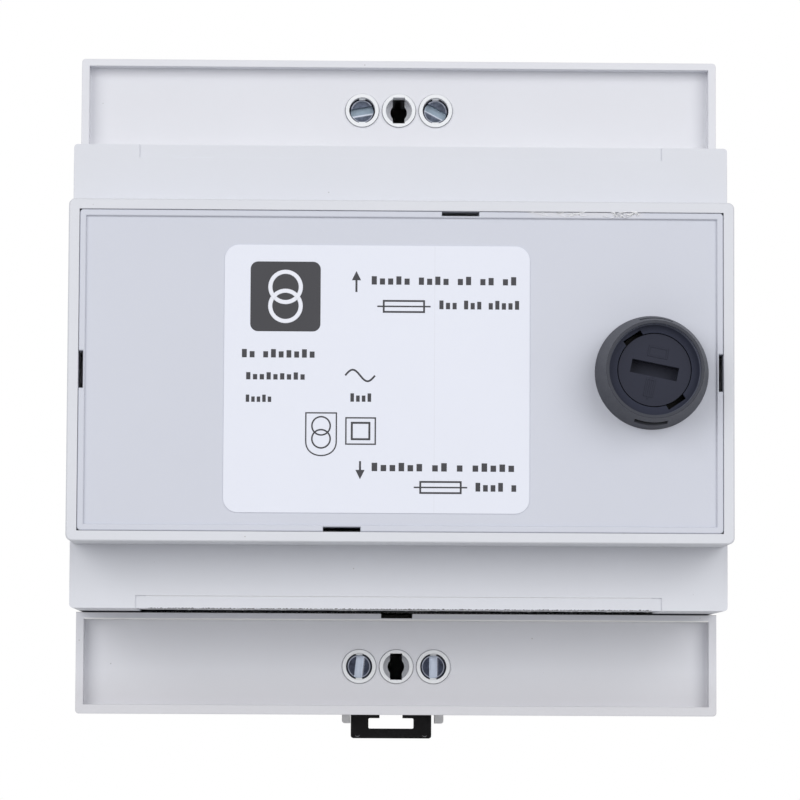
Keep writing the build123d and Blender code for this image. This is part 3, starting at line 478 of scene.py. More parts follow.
# Painted light on the wall inside the rim.
coat(tree, shader, inner_wall.outputs["Result"], "#666A7A")
behind = add(tree, "ShaderNodeMapRange", {
    "Value": axes.outputs["Y"],
    "From Min": (RECESS_FLOOR + HOLLOW_START) * MM,
    "From Max": (RECESS_FLOOR + HOLLOW_FULL) * MM,
})
hollow = add(tree, "ShaderNodeMapRange", {
    "Value": inset.outputs["Value"],
    "From Min": HOLLOW_START * MM,
    "From Max": HOLLOW_FULL * MM,
    "To Max": behind.outputs["Result"],
})
# Painted shade: the slits and the bayonet's entries black.
coat(tree, shader, hollow.outputs["Result"], "#08080A")
print("the cone grows from", CONE_SMALL, "to", CONE_LARGE, "mm in radius")

# %% [markdown]
# ## The label film
# The rating label is a white polyester film, smoother than the plastic round it. Where it was cut from the roll a
# faint crease runs down it, right of the middle, and its shade is painted in as a darker line. The crease is a narrow
# band in X, so it is drawn from the distance to one line rather than from a texture.

# %% Label film with its faint crease
LABEL_LOW, LABEL_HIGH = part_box("rating_label")
LABEL_X = (LABEL_LOW.x + LABEL_HIGH.x) / 2
LABEL_Z = (LABEL_LOW.z + LABEL_HIGH.z) / 2
LABEL_FRONT = LABEL_LOW.y
CREASE_X, CREASE_HALF_WIDTH, CREASE_STRENGTH = 7.55, 0.09, 0.25

label_film, tree, shader, place = moulded_plastic("white_polyester_film", "#E3E6F1", roughness=0.4, grain=0.6,
                                                  depth=0.001, edge=0.03, drift=0.008)
axes = add(tree, "ShaderNodeSeparateXYZ", {"Vector": place})
offset = add(tree, "ShaderNodeMath", {0: axes.outputs["X"], 1: LABEL_X + CREASE_X * MM}, operation="SUBTRACT")
distance = add(tree, "ShaderNodeMath", {0: offset.outputs["Value"]}, operation="ABSOLUTE")
crease = add(tree, "ShaderNodeMapRange", {
    "Value": distance.outputs["Value"], "From Max": CREASE_HALF_WIDTH * MM, "To Min": CREASE_STRENGTH, "To Max": 0.0,
})
# Painted shade of the crease.
coat(tree, shader, crease.outputs["Result"], "#C9CAD2")
print("made", label_film.name, "for a label", round((LABEL_HIGH.x - LABEL_LOW.x) / MM, 2), "mm wide")

# %% [markdown]
# ## Metals
# The terminal screws and cages are zinc-plated steel: bluish, and mottled where the plating is duller. The contacts
# are tinned brass, the fuse's ends nickel. Metal keeps the default IOR, and its look comes from what it mirrors,
# so the detail goes into the roughness and into a shallow relief.

# %% Plated metals
PLATING_SWING = 0.12
METAL_EDGE = 0.08


def plated_metal(name, colour, roughness, mottle, relief_depth, spread=0.25):
    """Plated metal whose gloss and colour change over spots of that size, with a shallow relief, both in mm."""
    material, tree, shader, place = start_material(name)
    spots = add(tree, "ShaderNodeTexNoise", {"Vector": place, "Scale": per_metre(mottle), "Detail": 4.0})
    tint = add(tree, "ShaderNodeMix", {
        MIX_FACTOR: spots.outputs["Fac"],
        MIX_A: linear(colour, 1 - spread),
        MIX_B: linear(colour, 1 + spread),
    }, data_type="RGBA")
    gloss = add(tree, "ShaderNodeMapRange", {
        "Value": spots.outputs["Fac"], "To Min": roughness - PLATING_SWING, "To Max": roughness + PLATING_SWING,
    })
    soft_edge = add(tree, "ShaderNodeBevel", {"Radius": METAL_EDGE * MM}, samples=EDGE_SAMPLES)
    relief = add(tree, "ShaderNodeBump", {
        "Height": spots.outputs["Fac"],
        "Strength": 1.0,
        "Distance": relief_depth * MM,
        "Normal": soft_edge.outputs["Normal"],
    })
    fill(tree, shader, {
        "Base Color": tint.outputs[MIX_RESULT],
        "Metallic": 1.0,
        "Roughness": gloss.outputs["Result"],
        "Normal": relief.outputs["Normal"],
    })
    return material, tree, shader, place


zinc_steel = plated_metal("zinc_plated_steel", "#949BA4", 0.34, mottle=0.6, relief_depth=0.03)[0]
tinned_brass = plated_metal("tinned_brass", "#B9B6AC", 0.38, mottle=0.8, relief_depth=0.02)[0]
nickel = plated_metal("nickel_plated_brass", "#B5B2A8", 0.2, mottle=1.2, relief_depth=0.006)[0]
core_steel = plated_metal("lacquered_core_steel", "#4A4B4F", 0.45, mottle=0.5, relief_depth=0.03)[0]
print("made zinc, tin, nickel and core steel")

# %% [markdown]
# ## The terminal screws
# The screws' colours are painted reflection and painted highlights. The slots are painted bright and the faces round
# them dark and blue, as painted reflection, and the turned edge of each head shows as a thin pale ring, a painted
# highlight, inside a painted dark rim. All of it follows the head's own geometry: the slot is whatever lies behind the
# face, the ring is a distance from the screw's axis, and the bright edges, painted highlights, are those where the
# normal that the Bevel node rounds leans up or to the left. The upper row is painted paler than the lower one, a lit
# copy of the same steel.

# %% Screws with bright slots and a turned edge
SLOT_START, SLOT_WALL = -24.97, -24.85
EDGE_RING, EDGE_RING_WIDTH, EDGE_RING_STRENGTH = 1.48, 0.1, 0.8
RIM_START, RIM_END = 1.53, 1.6
HIGHLIGHT_EDGE, HIGHLIGHT_STRENGTH, HIGHLIGHT_SAMPLES = 0.4, 0.8, 8
HIGHLIGHT_SIDE, LEAN_START, LEAN_FULL = (-0.4, 0.0, 1.0), 0.05, 0.5


def screw_steel(name, face, slot):
    """Zinc-plated steel with painted reflection as face and slot colours, painted highlights and a painted dark rim."""
    material, tree, shader, place = plated_metal(name, face, 0.36, mottle=0.45, relief_depth=0.05, spread=0.9)
    radius = off_axis(tree, place, (0, 0), (POLE_PITCH, POLE_HEIGHT))
    from_ring = add(tree, "ShaderNodeMath", {0: radius, 1: EDGE_RING * MM}, operation="SUBTRACT")
    beside = add(tree, "ShaderNodeMath", {0: from_ring.outputs["Value"]}, operation="ABSOLUTE")
    edge = add(tree, "ShaderNodeMapRange", {
        "Value": beside.outputs["Value"],
        "From Max": EDGE_RING_WIDTH * MM,
        "To Min": EDGE_RING_STRENGTH,
        "To Max": 0.0,
    })
    depth = add(tree, "ShaderNodeSeparateXYZ", {"Vector": place})
    deep = add(tree, "ShaderNodeMapRange", {
        "Value": depth.outputs["Y"], "From Min": SLOT_START * MM, "From Max": SLOT_WALL * MM,
    })
    rounded = add(tree, "ShaderNodeBevel", {"Radius": HIGHLIGHT_EDGE * MM}, samples=HIGHLIGHT_SAMPLES)
    lean = add(tree, "ShaderNodeVectorMath", {0: rounded.outputs["Normal"], 1: HIGHLIGHT_SIDE}, operation="DOT_PRODUCT")
    wear_and_highlight = add(tree, "ShaderNodeMapRange", {
        "Value": lean.outputs["Value"], "From Min": LEAN_START, "From Max": LEAN_FULL, "To Max": HIGHLIGHT_STRENGTH,
    })
    rim = add(tree, "ShaderNodeMapRange", {"Value": radius, "From Min": RIM_START * MM, "From Max": RIM_END * MM})
    # Painted highlight ring, painted reflection in the slot, painted highlights on leaning edges, painted shade at the
    # rim.
    for mask, colour in [(edge, "#A4A8B5"), (deep, slot), (wear_and_highlight, "#D5DBE8"), (rim, "#2A2C38")]:
        coat(tree, shader, mask.outputs["Result"], colour)
    return material


# The upper row's steel is painted paler than the lower row's, a lit copy of the same plating.
upper_steel = screw_steel("zinc_steel_of_upper_screws", face="#4B515E", slot="#7E8B98")
lower_steel = screw_steel("zinc_steel_of_lower_screws", face="#363A47", slot="#AEB6C5")
print("made", upper_steel.name, "and", lower_steel.name)

# %% [markdown]
# ## Wound copper, tape and glass
# Inside, the coils show as rows of enamelled wire under a yellow tape. Rows are bands along the coil's axis, and a
# Wave texture draws them at the wire's own pitch. The fuse's tube is clear glass with a trace of drawing lines.

# %% Windings and tape
WAVE_TURNS = 20.0
WIRE_PITCH, WIRE_RELIEF = 0.55, 0.15

copper, tree, shader, place = start_material("enamelled_copper_wire")
rows = add(tree, "ShaderNodeTexWave", {
    "Vector": place, "Scale": 2 * math.pi / WAVE_TURNS * per_metre(WIRE_PITCH), "Distortion": 0.3,
}, bands_direction="Z")
wire_tint = add(tree, "ShaderNodeMix", {
    MIX_FACTOR: rows.outputs["Fac"], MIX_A: linear("#5A2412"), MIX_B: linear("#B5602F"),
}, data_type="RGBA")
wire_relief = add(tree, "ShaderNodeBump", {
    "Height": rows.outputs["Fac"], "Strength": 1.0, "Distance": WIRE_RELIEF * MM,
})
fill(tree, shader, {
    "Base Color": wire_tint.outputs[MIX_RESULT],
    "Metallic": 0.8,
    "Roughness": 0.3,
    "Normal": wire_relief.outputs["Normal"],
})
tape = moulded_plastic("yellow_polyester_tape", "#D9B23A", roughness=0.25, grain=2.0, depth=0.03, drift=0.08)[0]
print("made", copper.name, "at a pitch of", WIRE_PITCH, "mm and", tape.name)

# %% Fuse glass
DRAWN_LINE = 0.8

glass, tree, shader, place = start_material("drawn_fuse_glass")
lines = add(tree, "ShaderNodeTexNoise", {"Vector": place, "Scale": per_metre(DRAWN_LINE), "Detail": 2.0})
clarity = add(tree, "ShaderNodeMapRange", {"Value": lines.outputs["Fac"], "To Min": 0.01, "To Max": 0.06})
fill(tree, shader, {
    "Base Color": linear("#F4FAF6"),
    "Transmission Weight": 1.0,
    "IOR": 1.52,
    "Roughness": clarity.outputs["Result"],
})
print("made", glass.name)

# %% [markdown]
# ## Every piece gets its finish
# A table from finish to pieces is easier to check than assignments scattered through the file. A name that is
# missing from it would keep its plain import colour, so the cell counts what it dressed.

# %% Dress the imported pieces
POLES = ["upper_left", "upper_right", "lower_left", "lower_right"]
finishes = [
    (base_plastic, ["base_housing"]),
    (housing_plastic, ["cover_shell"]),
    (guard_plastic, ["upper_terminal_guard", "lower_terminal_guard"]),
    (panel_plastic, ["front_panel"]),
    (label_film, ["rating_label"]),
    (terminal_plastic, ["upper_terminal_block", "lower_terminal_block"]),
    (clip_plastic, ["rail_clip"]),
    (cap_plastic, ["fuse_cap"]),
    (bezel_plastic, ["fuse_holder_body", "fuse_holder_nut"]),
    (upper_steel, ["upper_left_screw", "upper_right_screw"]),
    (lower_steel, ["lower_left_screw", "lower_right_screw"]),
    (zinc_steel, ["core_screws"] + [pole + "_cage" for pole in POLES]),
    (tinned_brass, ["upper_contact_bars", "lower_contact_bars", "fuse_rear_contact", "fuse_side_contact", "coil_pins"]),
    (nickel, ["fuse_end_caps", "fuse_wire"]),
    (glass, ["fuse_glass"]),
    (core_steel, ["core_laminations"]),
    (former_plastic, ["coil_former"]),
    (copper, ["primary_winding", "secondary_winding"]),
    (tape, ["primary_tape", "secondary_tape"]),
    (cutout_plastic, ["thermal_cutout"]),
    (lead_plastic, ["primary_left_lead", "primary_right_lead", "secondary_lead", "fuse_feed_lead",
                    "fuse_return_lead"]),
]
dressed = set()
for finish, names in finishes:
    for name in names:
        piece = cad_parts[name].data
        piece.materials.clear()
        piece.materials.append(finish)
        dressed.add(name)
print("dressed", len(dressed), "pieces, left", sorted(set(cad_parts) - dressed))

# %% [markdown]
# ## Ink as strokes
# Print is a layer of ink a few hundredths of a millimetre thick. It could be a texture, but the edges of a mesh stay
# sharp at any distance. Every mark here is one stroke: a flat bar carried along a path, whose width may change on
# the way. Boxes and rings close their path, an arrowhead narrows to a point, and a filled tile is a wide bar.

# %% One stroke of ink
INK_SUNK = 0.005


def stroke(path, widths, front, lift, closed=False):
    """A flat bar along a path of (across, up) points in mm, on a plane facing the viewer at Y = front, in metres.

    Each point is carried half the width to both sides, along the mean of the normals of the two stretches that
    meet there, divided by the cosine of half their bend so that corners stay sharp. Left and right, near and far
    give the four corners of the section, and path points by corners is the grid that the faces join.
    """
    path = np.asarray(path, dtype=float)
    ahead = np.roll(path, -1, axis=0) - path
    ahead[-1] = ahead[-1] if closed else ahead[-2]
    ahead /= np.linalg.norm(ahead, axis=1, keepdims=True)
    behind = np.roll(ahead, 1, axis=0)
    behind[0] = behind[0] if closed else ahead[0]
    mean = ahead + behind
    mean /= np.linalg.norm(mean, axis=1, keepdims=True)
    side = np.stack([-mean[:, 1], mean[:, 0]], axis=1)
    reach = side * (np.broadcast_to(widths, len(path)) / 2 / (mean * ahead).sum(axis=1))[:, None]
    corners = np.stack([path + reach, path - reach, path - reach, path + reach], axis=1) * MM
    levels = np.array([-lift, -lift, INK_SUNK, INK_SUNK]) * MM + front
    grid = np.stack([corners[..., 0], np.broadcast_to(levels, corners.shape[:2]), corners[..., 1]], axis=2)
    points = len(path)
    start = np.arange(points if closed else points - 1)[:, None] * 4
    near = np.arange(4)[None, :]
    far = (near + 1) % 4
    onward = (start + 4) % (4 * points)
    faces = np.stack(np.broadcast_arrays(start + near, start + far, onward + far, onward + near), axis=2)
    faces = faces.reshape(-1, 4)
    if not closed:
        faces = np.vstack([faces, [[3, 2, 1, 0]], np.arange(4)[None, :] + 4 * (points - 1)])
    return grid.reshape(-1, 3), faces


def piece_from(name, parts, material, body):
    """Joins (points, faces) pairs into one mesh at the origin, which takes that material and rides on that body."""
    starts = np.cumsum([0] + [len(points) for points, _ in parts[:-1]])
    mesh = bpy.data.meshes.new(name)
    mesh.from_pydata(
        np.vstack([points for points, _ in parts]).tolist(), [],
        np.vstack([faces + start for (_, faces), start in zip(parts, starts)]).tolist(),
    )
    mesh.materials.append(material)
    piece = bpy.data.objects.new(name, mesh)
    bpy.context.collection.objects.link(piece)
    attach(piece, body)
    print(name, len(mesh.polygons), "faces on", body)


bar_points, bar_faces = stroke([(0, 0), (1, 0)], 0.2, 0.0, 0.02)
print("a plain bar has", len(bar_points), "points and", len(bar_faces), "faces")

# %% [markdown]
# ## The print on the label
# The print is generic: rows of short blocks give the label its lines of text. Between them are the simple signs that
# such a label carries, an arrow in and an arrow out, two fuses, a sine, a double square and a shield with two rings.
# Everything is set out in millimetres from the label's centre.

# %% Rows of word-like blocks
INK_LIFT = 0.015
INK_LINE = 0.24
CROSSING = 0.003
LETTER_HEIGHTS = np.array([1.0, 0.74, 0.74, 1.0, 0.74, 0.88, 0.74])
LETTER_FILL = 0.62
WORD_GAP = 0.75

label_ink = moulded_plastic("black_label_ink", "#2C2C32", roughness=0.5, grain=0.2, drift=0.25)[0]


def on_label(path, widths, closed=False, lift=INK_LIFT):
    """A stroke of ink whose path is measured from the label's centre."""
    centre = np.array([LABEL_X, LABEL_Z]) / MM
    return stroke(np.asarray(path, dtype=float) + centre, widths, LABEL_FRONT, lift, closed)


def word_row(left, base, length, height, words):
    """Blocks for words of the given letter counts: the pitch shares the length among letters and gaps."""
    letters = sum(words)
    pitch = length / (letters + WORD_GAP * (len(words) - 1))
    word_of_letter = np.repeat(np.arange(len(words)), words)
    middles = left + pitch * (np.arange(letters) + 0.5 + WORD_GAP * word_of_letter)
    tops = base + height * LETTER_HEIGHTS[np.arange(letters) % len(LETTER_HEIGHTS)]
    return [on_label([(x, base), (x, top)], LETTER_FILL * pitch) for x, top in zip(middles, tops)]


# Each row gives its left end, base, length and height, then the letters in each of its words.
print_parts = []
for row in [
    (-0.95, 12.45, 19.4, 1.1, [5, 4, 2, 2, 2]),
    (8.0, 9.25, 10.8, 1.15, [3, 3, 5]),
    (-17.9, 2.75, 9.9, 1.1, [2, 7]),
    (-17.3, -0.15, 8.0, 0.95, [9]),
    (-17.3, -3.1, 3.6, 0.95, [5]),
    (-3.6, -3.0, 3.0, 1.1, [4]),
    (-0.85, -12.1, 19.1, 1.1, [6, 2, 1, 5]),
    (12.8, -14.7, 5.7, 1.15, [4, 1]),
]:
    print_parts += word_row(*row)
print(len(print_parts), "blocks of ink")

# %% Arrows and fuses
ARROW_TIP = 0.02
WIRE_SHARE = 0.8


def arrow(x, tail, tip, shaft=0.26, head=1.2):
    """A shaft and a head that narrows to its tip; the head is as long as it is wide."""
    neck = tip - math.copysign(head, tip - tail)
    return [on_label([(x, tail), (x, neck)], shaft), on_label([(x, neck), (x, tip)], [head, ARROW_TIP])]


def box(x, z, width, height):
    """The four corners of an upright rectangle round (x, z), counter-clockwise."""
    return np.array([x, z]) + np.array([(-1, -1), (1, -1), (1, 1), (-1, 1)]) * [width / 2, height / 2]


def fuse_sign(x, z, width=5.3, height=1.45, wire=7.0):
    """A box with its wire running through it and a little beyond."""
    return [
        on_label(box(x, z, width, height), INK_LINE, closed=True),
        on_label([(x - wire / 2, z), (x + wire / 2, z)], WIRE_SHARE * INK_LINE, lift=INK_LIFT + CROSSING),
    ]


print_parts += arrow(-2.75, 11.45, 14.2) + arrow(-2.15, -10.8, -13.15)
print_parts += fuse_sign(3.5, 9.58) + fuse_sign(8.4, -14.2)
print(len(print_parts), "strokes with arrows and fuses")

# %% Sine, double square and shield
SINE_X, SINE_Z, SINE_HALF, SINE_HEIGHT = -2.2, 0.45, 1.95, 0.75
SQUARE_X, SQUARE_Z = -2.1, -6.85
SHIELD_X, SHIELD_TOP, SHIELD_FOOT, SHIELD_HALF = -7.28, -4.5, -8.1, 2.0
SHIELD_RING = 1.2


def ring(x, z, radius, count=48):
    """Points at equal angles on a circle: centre plus radius times (cos, sin)."""
    angle = np.arange(count) * 2 * math.pi / count
    return np.stack([x + radius * np.cos(angle), z + radius * np.sin(angle)], axis=1)


phase = np.linspace(-1, 1, 40)
wave = np.stack([SINE_X + SINE_HALF * phase, SINE_Z - SINE_HEIGHT * np.sin(math.pi * phase)], axis=1)
print_parts.append(on_label(wave, INK_LINE))
print_parts.append(on_label(box(SQUARE_X, SQUARE_Z, 3.85, 3.45), 0.18, closed=True))
print_parts.append(on_label(box(SQUARE_X, SQUARE_Z, 2.3, 2.15), 0.26, closed=True))

# The shield's sides are straight, and its foot is half an ellipse, a little fuller, from the left side to the right.
sweep = np.linspace(0, math.pi, 25)
foot = np.stack([
    SHIELD_X - SHIELD_HALF * np.cos(sweep), SHIELD_FOOT - SHIELD_HALF * np.sin(sweep) ** 0.8,
], axis=1)
top = [(SHIELD_X + SHIELD_HALF, SHIELD_TOP), (SHIELD_X - SHIELD_HALF, SHIELD_TOP)]
print_parts.append(on_label(np.vstack([top, foot]), 0.17, closed=True))
print_parts.append(on_label(ring(SHIELD_X, -6.2, SHIELD_RING), 0.2, closed=True))
print_parts.append(on_label(ring(SHIELD_X, -7.9, SHIELD_RING), 0.2, closed=True, lift=INK_LIFT + CROSSING))
piece_from("label_print", print_parts, label_ink, "case")

# %% [markdown]
# ## A plain tile in the label's corner
# The upper left corner holds a dark square with rounded corners, and on it the sign for a transformer, two rings that
# overlap. The square is one wide stroke whose width follows the rounding at its ends.

# %% Dark tile with two rings
TILE_X, TILE_Z = -12.05, 10.8
TILE_SIDE, TILE_CORNER = 9.2, 1.0
RING_RADIUS, RING_WIDTH, RING_SHIFT, RING_LIFT = 2.0, 0.55, 1.25, 0.028

half_side = TILE_SIDE / 2
bend = np.linspace(0, math.pi / 2, 9)
ends = half_side - TILE_CORNER + TILE_CORNER * np.cos(bend)
climb = np.concatenate([-ends, ends[::-1]])
breadth = TILE_SIDE - 2 * TILE_CORNER * (1 - np.concatenate([np.sin(bend), np.sin(bend)[::-1]]))
tile = on_label(np.stack([np.full_like(climb, TILE_X), TILE_Z + climb], axis=1), breadth)
piece_from("label_tile", [tile], label_ink, "case")

white_ink = moulded_plastic("white_label_ink", "#E7E9F3", roughness=0.45, grain=0.3, drift=0.02)[0]
tile_rings = [
    on_label(ring(TILE_X, TILE_Z + RING_SHIFT, RING_RADIUS), RING_WIDTH, closed=True, lift=RING_LIFT),
    on_label(ring(TILE_X, TILE_Z - RING_SHIFT, RING_RADIUS), RING_WIDTH, closed=True, lift=RING_LIFT + CROSSING),
]
piece_from("label_rings", tile_rings, white_ink, "case")

# %% [markdown]
# ## The marks on the fuse cap
# The cap's face carries a small raised sign above and below its slot, moulded with the cap and hard to see against
# black. The same strokes make both, a little higher, turned with the slot.

# %% Raised marks on the fuse cap
CAP_TURN = math.radians(-11.3)
MARK_LIFT, MARK_WIDTH = 0.06, 0.2


def on_cap(path, widths, closed=False, lift=MARK_LIFT):
    """A raised stroke whose path is measured from the cap's axis and turned with its slot."""
    turn = np.array([[math.cos(CAP_TURN), math.sin(CAP_TURN)], [-math.sin(CAP_TURN), math.cos(CAP_TURN)]])
    across = np.asarray(path, dtype=float) @ turn + [CAP_X / MM, 0.0]
    return stroke(across, widths, CAP_LOW.y, lift, closed)


piece_from("fuse_cap_marks", [
    on_cap(box(-0.2, -2.4, 1.0, 2.2), MARK_WIDTH, closed=True),
    on_cap([(-0.2, -3.9), (-0.2, -0.95)], MARK_WIDTH, lift=MARK_LIFT + CROSSING),
    on_cap(box(0.0, 2.35, 2.4, 1.2), MARK_WIDTH, closed=True),
], cap_plastic, "fuse_carrier")

# %% [markdown]
# ## Pin marks on the clip
# Two ejector pins pushed the clip out of its mould and left a raised lip in each lower corner of the foot, painted
# pale as a painted highlight. A lip is an arc of a circle, widest at its lowest point, and the same strokes draw it.

# %% Two raised lips on the clip
CLIP_LOW, CLIP_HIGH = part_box("rail_clip")
PIN_INSET, PIN_RISE = 0.95, 0.65
PIN_RADIUS, LIP_WIDTH, LIP_LIFT = 0.38, 0.15, 0.04
LIP_START, LIP_END, LIP_POINTS = 1.15 * math.pi, 1.85 * math.pi, 15
LIP_THIN = 0.1

# The lips' pale colour is a painted highlight on the lit lower slope of each pin mark.
lip_plastic = moulded_plastic("polyamide_with_painted_highlight", "#77777B", roughness=0.35, grain=0.2, drift=0.1)[0]
sweep = np.linspace(LIP_START, LIP_END, LIP_POINTS)
lip = PIN_RADIUS * np.stack([np.cos(sweep), np.sin(sweep)], axis=1)
lip_widths = LIP_WIDTH * (LIP_THIN + (1 - LIP_THIN) * np.sin(np.linspace(0, math.pi, LIP_POINTS)))
piece_from("clip_pin_marks", [
    stroke(lip + [x, CLIP_LOW.z / MM + PIN_RISE], lip_widths, CLIP_LOW.y, LIP_LIFT)
    for x in (CLIP_LOW.x / MM + PIN_INSET, CLIP_HIGH.x / MM - PIN_INSET)
], lip_plastic, "clip")

# %% [markdown]
# ## Torn edges
# Where the tool scraped, plastic has lifted into curls that cross the gap above the panel, and the strip over the lower
# terminals was cut with a blade that left a fringe on its lower edge. Each curl is a thin tube that runs along the
# edge, arches outwards and tapers off: a circle carried along a path. A seeded random generator spreads the curls,
# so every run gives the same ones.

# %% One curl of lifted plastic
CURL_STEPS, CURL_SIDES = 16, 8
CURL_THIN = 0.15
CURL_RIPPLE = 0.3
# A fan of three quads closes the ring of eight points at each end.
CURL_FAN = np.array([[0, 1, 2, 3], [0, 3, 4, 5], [0, 5, 6, 7]])


def curl(x, y, z, length, arch, wander, radius):
    """A tapered tube: x runs evenly, Y arches out by a sine, Z wanders by two sines, radius swells as sin(pi t)."""
    t = np.linspace(0, 1, CURL_STEPS + 1)[:, None]
    angle = np.linspace(0, 2 * math.pi, CURL_SIDES, endpoint=False)[None, :]
    middle_x = x + length * (t - 0.5)
    middle_y = y - arch * np.sin(math.pi * t)
    middle_z = z + wander * (np.sin(2 * math.pi * t) + CURL_RIPPLE * np.sin(5 * math.pi * t))
    thick = radius * (CURL_THIN + (1 - CURL_THIN) * np.sin(math.pi * t))
    grid = np.stack(np.broadcast_arrays(
        middle_x, middle_y + thick * np.cos(angle), middle_z + thick * np.sin(angle),
    ), axis=2)
    start = np.arange(CURL_STEPS)[:, None] * CURL_SIDES
    near = start + np.arange(CURL_SIDES)[None, :]
    far = start + (np.arange(CURL_SIDES)[None, :] + 1) % CURL_SIDES
    sides = np.stack([near, far, far + CURL_SIDES, near + CURL_SIDES], axis=2).reshape(-1, 4)
    faces = np.vstack([sides, CURL_FAN[:, [0, 3, 2, 1]], CURL_FAN + CURL_STEPS * CURL_SIDES])
    return grid.reshape(-1, 3) * MM, faces


random = np.random.default_rng(7)


def scatter(rows):
    """Curls for each row: a count, then the ends between which x, y, z and the curl's four sizes are drawn evenly."""
    curls = []
    for count, *ranges in rows:
        draws = [random.uniform(low, high, count) for low, high in ranges]
        curls += [curl(*sizes) for sizes in zip(*draws)]
    return curls


burr_plastic = moulded_plastic("torn_plastic", "#F2F3F6", roughness=0.6, grain=0.2, drift=0.01)[0]
print("a curl has", CURL_STEPS * CURL_SIDES + 2 * len(CURL_FAN), "faces")

# %% Curls on the scraped rim
PANEL_LOW, PANEL_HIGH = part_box("front_panel")
RIM_Z = PANEL_HIGH.z / MM
RIM_LEVEL = (PANEL_LOW.y / MM, PANEL_LOW.y / MM)

piece_from("rim_burrs", scatter([
    (20, (26.8, 30.9), RIM_LEVEL, (RIM_Z - 0.6, RIM_Z + 0.12), (0.5, 1.3), (0.08, 0.2), (-0.3, 0.3), (0.05, 0.1)),
    (8, (21.0, 24.2), RIM_LEVEL, (RIM_Z - 0.45, RIM_Z + 0.1), (0.6, 1.4), (0.04, 0.1), (-0.15, 0.15), (0.05, 0.08)),
    (12, (17.0, 23.5), RIM_LEVEL, (RIM_Z - 0.6, RIM_Z + 0.1), (0.6, 1.6), (0.02, 0.06), (-0.1, 0.1), (0.03, 0.06)),
]), burr_plastic, "case")

# %% Fringe on the lower strip
FRINGE_Z, FRINGE_FRONT = -31.08, -43.2
FRINGE_SPAN = (-33.5, 33.5)

piece_from("strip_fringe", scatter([
    (180, FRINGE_SPAN, (FRINGE_FRONT, FRINGE_FRONT + 0.4), (FRINGE_Z - 0.1, FRINGE_Z + 0.05),
     (0.08, 0.35), (0.0, 0.1), (-0.07, 0.07), (0.02, 0.055)),
    (110, FRINGE_SPAN, (FRINGE_FRONT - 0.12, FRINGE_FRONT - 0.08), (FRINGE_Z - 0.12, FRINGE_Z + 0.14),
     (0.06, 0.22), (0.0, 0.04), (-0.03, 0.03), (0.02, 0.045)),
]), burr_plastic, "case")

# %% [markdown]
# ## Floor
# A plain pale disc lies below the part and takes its shadow. It ends before it could rise into the picture. Towards its
# rim it turns transparent, so that other views see no edge and no more light comes from below than from the room.

# %% Pale floor
FLOOR_Z, FLOOR_RADIUS, FLOOR_SIDES = -80.0, 450.0, 96
FADE_START, FADE_END = 0.2 * FLOOR_RADIUS, 0.95 * FLOOR_RADIUS

edge = np.insert(ring(0, 0, FLOOR_RADIUS, FLOOR_SIDES), 2, FLOOR_Z, axis=1) * MM
floor_mesh = bpy.data.meshes.new("studio_floor")
floor_mesh.from_pydata(edge.tolist(), [], [list(range(FLOOR_SIDES))])
floor = bpy.data.objects.new("studio_floor", floor_mesh)
bpy.context.collection.objects.link(floor)

floor_paint, tree, shader, place = start_material("pale_floor_paint")
distance = add(tree, "ShaderNodeVectorMath", {0: place}, operation="LENGTH")
fade = add(tree, "ShaderNodeMapRange", {
    "Value": distance.outputs["Value"], "From Min": FADE_START * MM, "From Max": FADE_END * MM,
})
paint = add(tree, "ShaderNodeBsdfDiffuse", {"Color": linear("#DCDCDC")})
clear = add(tree, "ShaderNodeBsdfTransparent", {})
faded = add(tree, "ShaderNodeMixShader", {0: fade.outputs["Result"], 1: paint.outputs[0], 2: clear.outputs[0]})
fill(tree, tree.nodes["Material Output"], {"Surface": faded.outputs[0]})
floor_mesh.materials.append(floor_paint)
print("floor at", FLOOR_Z, "mm,", 2 * FLOOR_RADIUS, "mm across")

# %% [markdown]
# ## Light
# The picture was taken in an even, bright room with a large soft lamp to each side, above the camera. The world gives
# the even fill to the surfaces and plain white to whatever looks straight at it, so metal mirrors the white room. The
# lamps add the rest, so that front faces come out at the level of their own colours, and every step throws a soft
# shadow that thins out towards the ends. A third lamp behind keeps the back from going dull in other views.

# %% White room
FILL_LEVEL = 0.38

world = bpy.data.worlds.new("white_studio")
world.use_nodes = True
bpy.context.scene.world = world
tree = world.node_tree
rays = add(tree, "ShaderNodeLightPath", {})
mirrored = add(tree, "ShaderNodeMath", {
    0: rays.outputs["Is Glossy Ray"], 1: rays.outputs["Is Transmission Ray"],
}, operation="MAXIMUM")
seen = add(tree, "ShaderNodeMath", {
    0: rays.outputs["Is Camera Ray"], 1: mirrored.outputs["Value"],
}, operation="MAXIMUM")
dim = add(tree, "ShaderNodeBackground", {"Color": linear("#FFFFFF"), "Strength": FILL_LEVEL})
white = add(tree, "ShaderNodeBackground", {"Color": linear("#FFFFFF"), "Strength": 1.0})
room = add(tree, "ShaderNodeMixShader", {0: seen.outputs["Value"], 1: dim.outputs[0], 2: white.outputs[0]})
fill(tree, tree.nodes["World Output"], {"Surface": room.outputs[0]})
print("made", world.name, "with a fill of", FILL_LEVEL)

# %% Lamps
LAMP_WATTS, BACK_WATTS = 6.1, 7.0
LAMP_SIZE = 0.8
LAMP_SIDE, LAMP_FRONT, LAMP_HEIGHT = 0.64, -1.0, 0.37


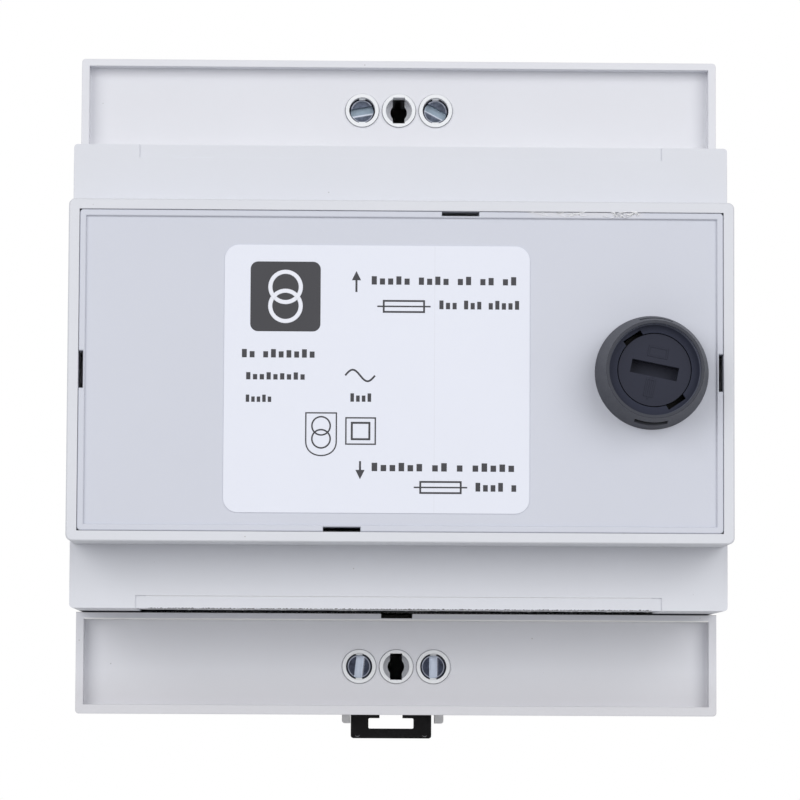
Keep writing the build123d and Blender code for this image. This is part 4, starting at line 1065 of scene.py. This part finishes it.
def soft_lamp(name, place, watts):
    """A square area lamp at a place in metres, turned towards the part."""
    lamp = bpy.data.lights.new(name, "AREA")
    lamp.size = LAMP_SIZE
    lamp.energy = watts
    holder = bpy.data.objects.new(name, lamp)
    holder.location = place
    holder.rotation_euler = Vector(place).to_track_quat("Z", "Y").to_euler()
    bpy.context.collection.objects.link(holder)


soft_lamp("left_lamp", (-LAMP_SIDE, LAMP_FRONT, LAMP_HEIGHT), LAMP_WATTS)
soft_lamp("right_lamp", (LAMP_SIDE, LAMP_FRONT, LAMP_HEIGHT), LAMP_WATTS)
soft_lamp("back_lamp", (0.1, 1.1, 0.5), BACK_WATTS)
print("lamps of", LAMP_WATTS, "and", BACK_WATTS, "W,", LAMP_SIZE, "m wide")

# %% [markdown]
# ## Camera
# The picture was taken from straight in front, a hand's breadth below the middle, with a long lens, so the undersides
# of the steps just show. The place and turns below put the part's corners where the picture has them. The sensor is
# 36 mm wide and the picture 800 pixels, which turns the focal length in pixels into millimetres.

# %% Camera at the picture's angle
PICTURE_SIZE = 800
FOCAL_PIXELS = 4036.0
SENSOR_WIDTH = 36.0
CAMERA_PLACE = (-10.1, -580.1, -44.1)
CAMERA_PITCH, CAMERA_YAW, CAMERA_ROLL = -4.37, -1.077, 0.36

lens = bpy.data.cameras.new("picture_camera")
lens.sensor_width = SENSOR_WIDTH
lens.lens = FOCAL_PIXELS * SENSOR_WIDTH / PICTURE_SIZE
turn = (
    Matrix.Rotation(math.radians(CAMERA_ROLL), 3, "Z")
    @ Matrix.Rotation(math.radians(CAMERA_YAW), 3, "Y")
    @ Matrix.Rotation(math.radians(CAMERA_PITCH), 3, "X")
)
right, down, forward = turn @ Matrix(((1, 0, 0), (0, 0, -1), (0, 1, 0)))
pose = Matrix((right, -down, -forward)).transposed().to_4x4()
pose.translation = Vector(CAMERA_PLACE) * MM
camera = bpy.data.objects.new("picture_camera", lens)
camera.matrix_world = pose
bpy.context.collection.objects.link(camera)
bpy.context.scene.camera = camera
bpy.context.scene.view_settings.view_transform = "Standard"
print("lens", round(lens.lens, 1), "mm at", CAMERA_PLACE)

# %% [markdown]
# ## Finish
# The view layer is brought up to date.

# %% Bring the view layer up to date
bpy.context.view_layer.update()
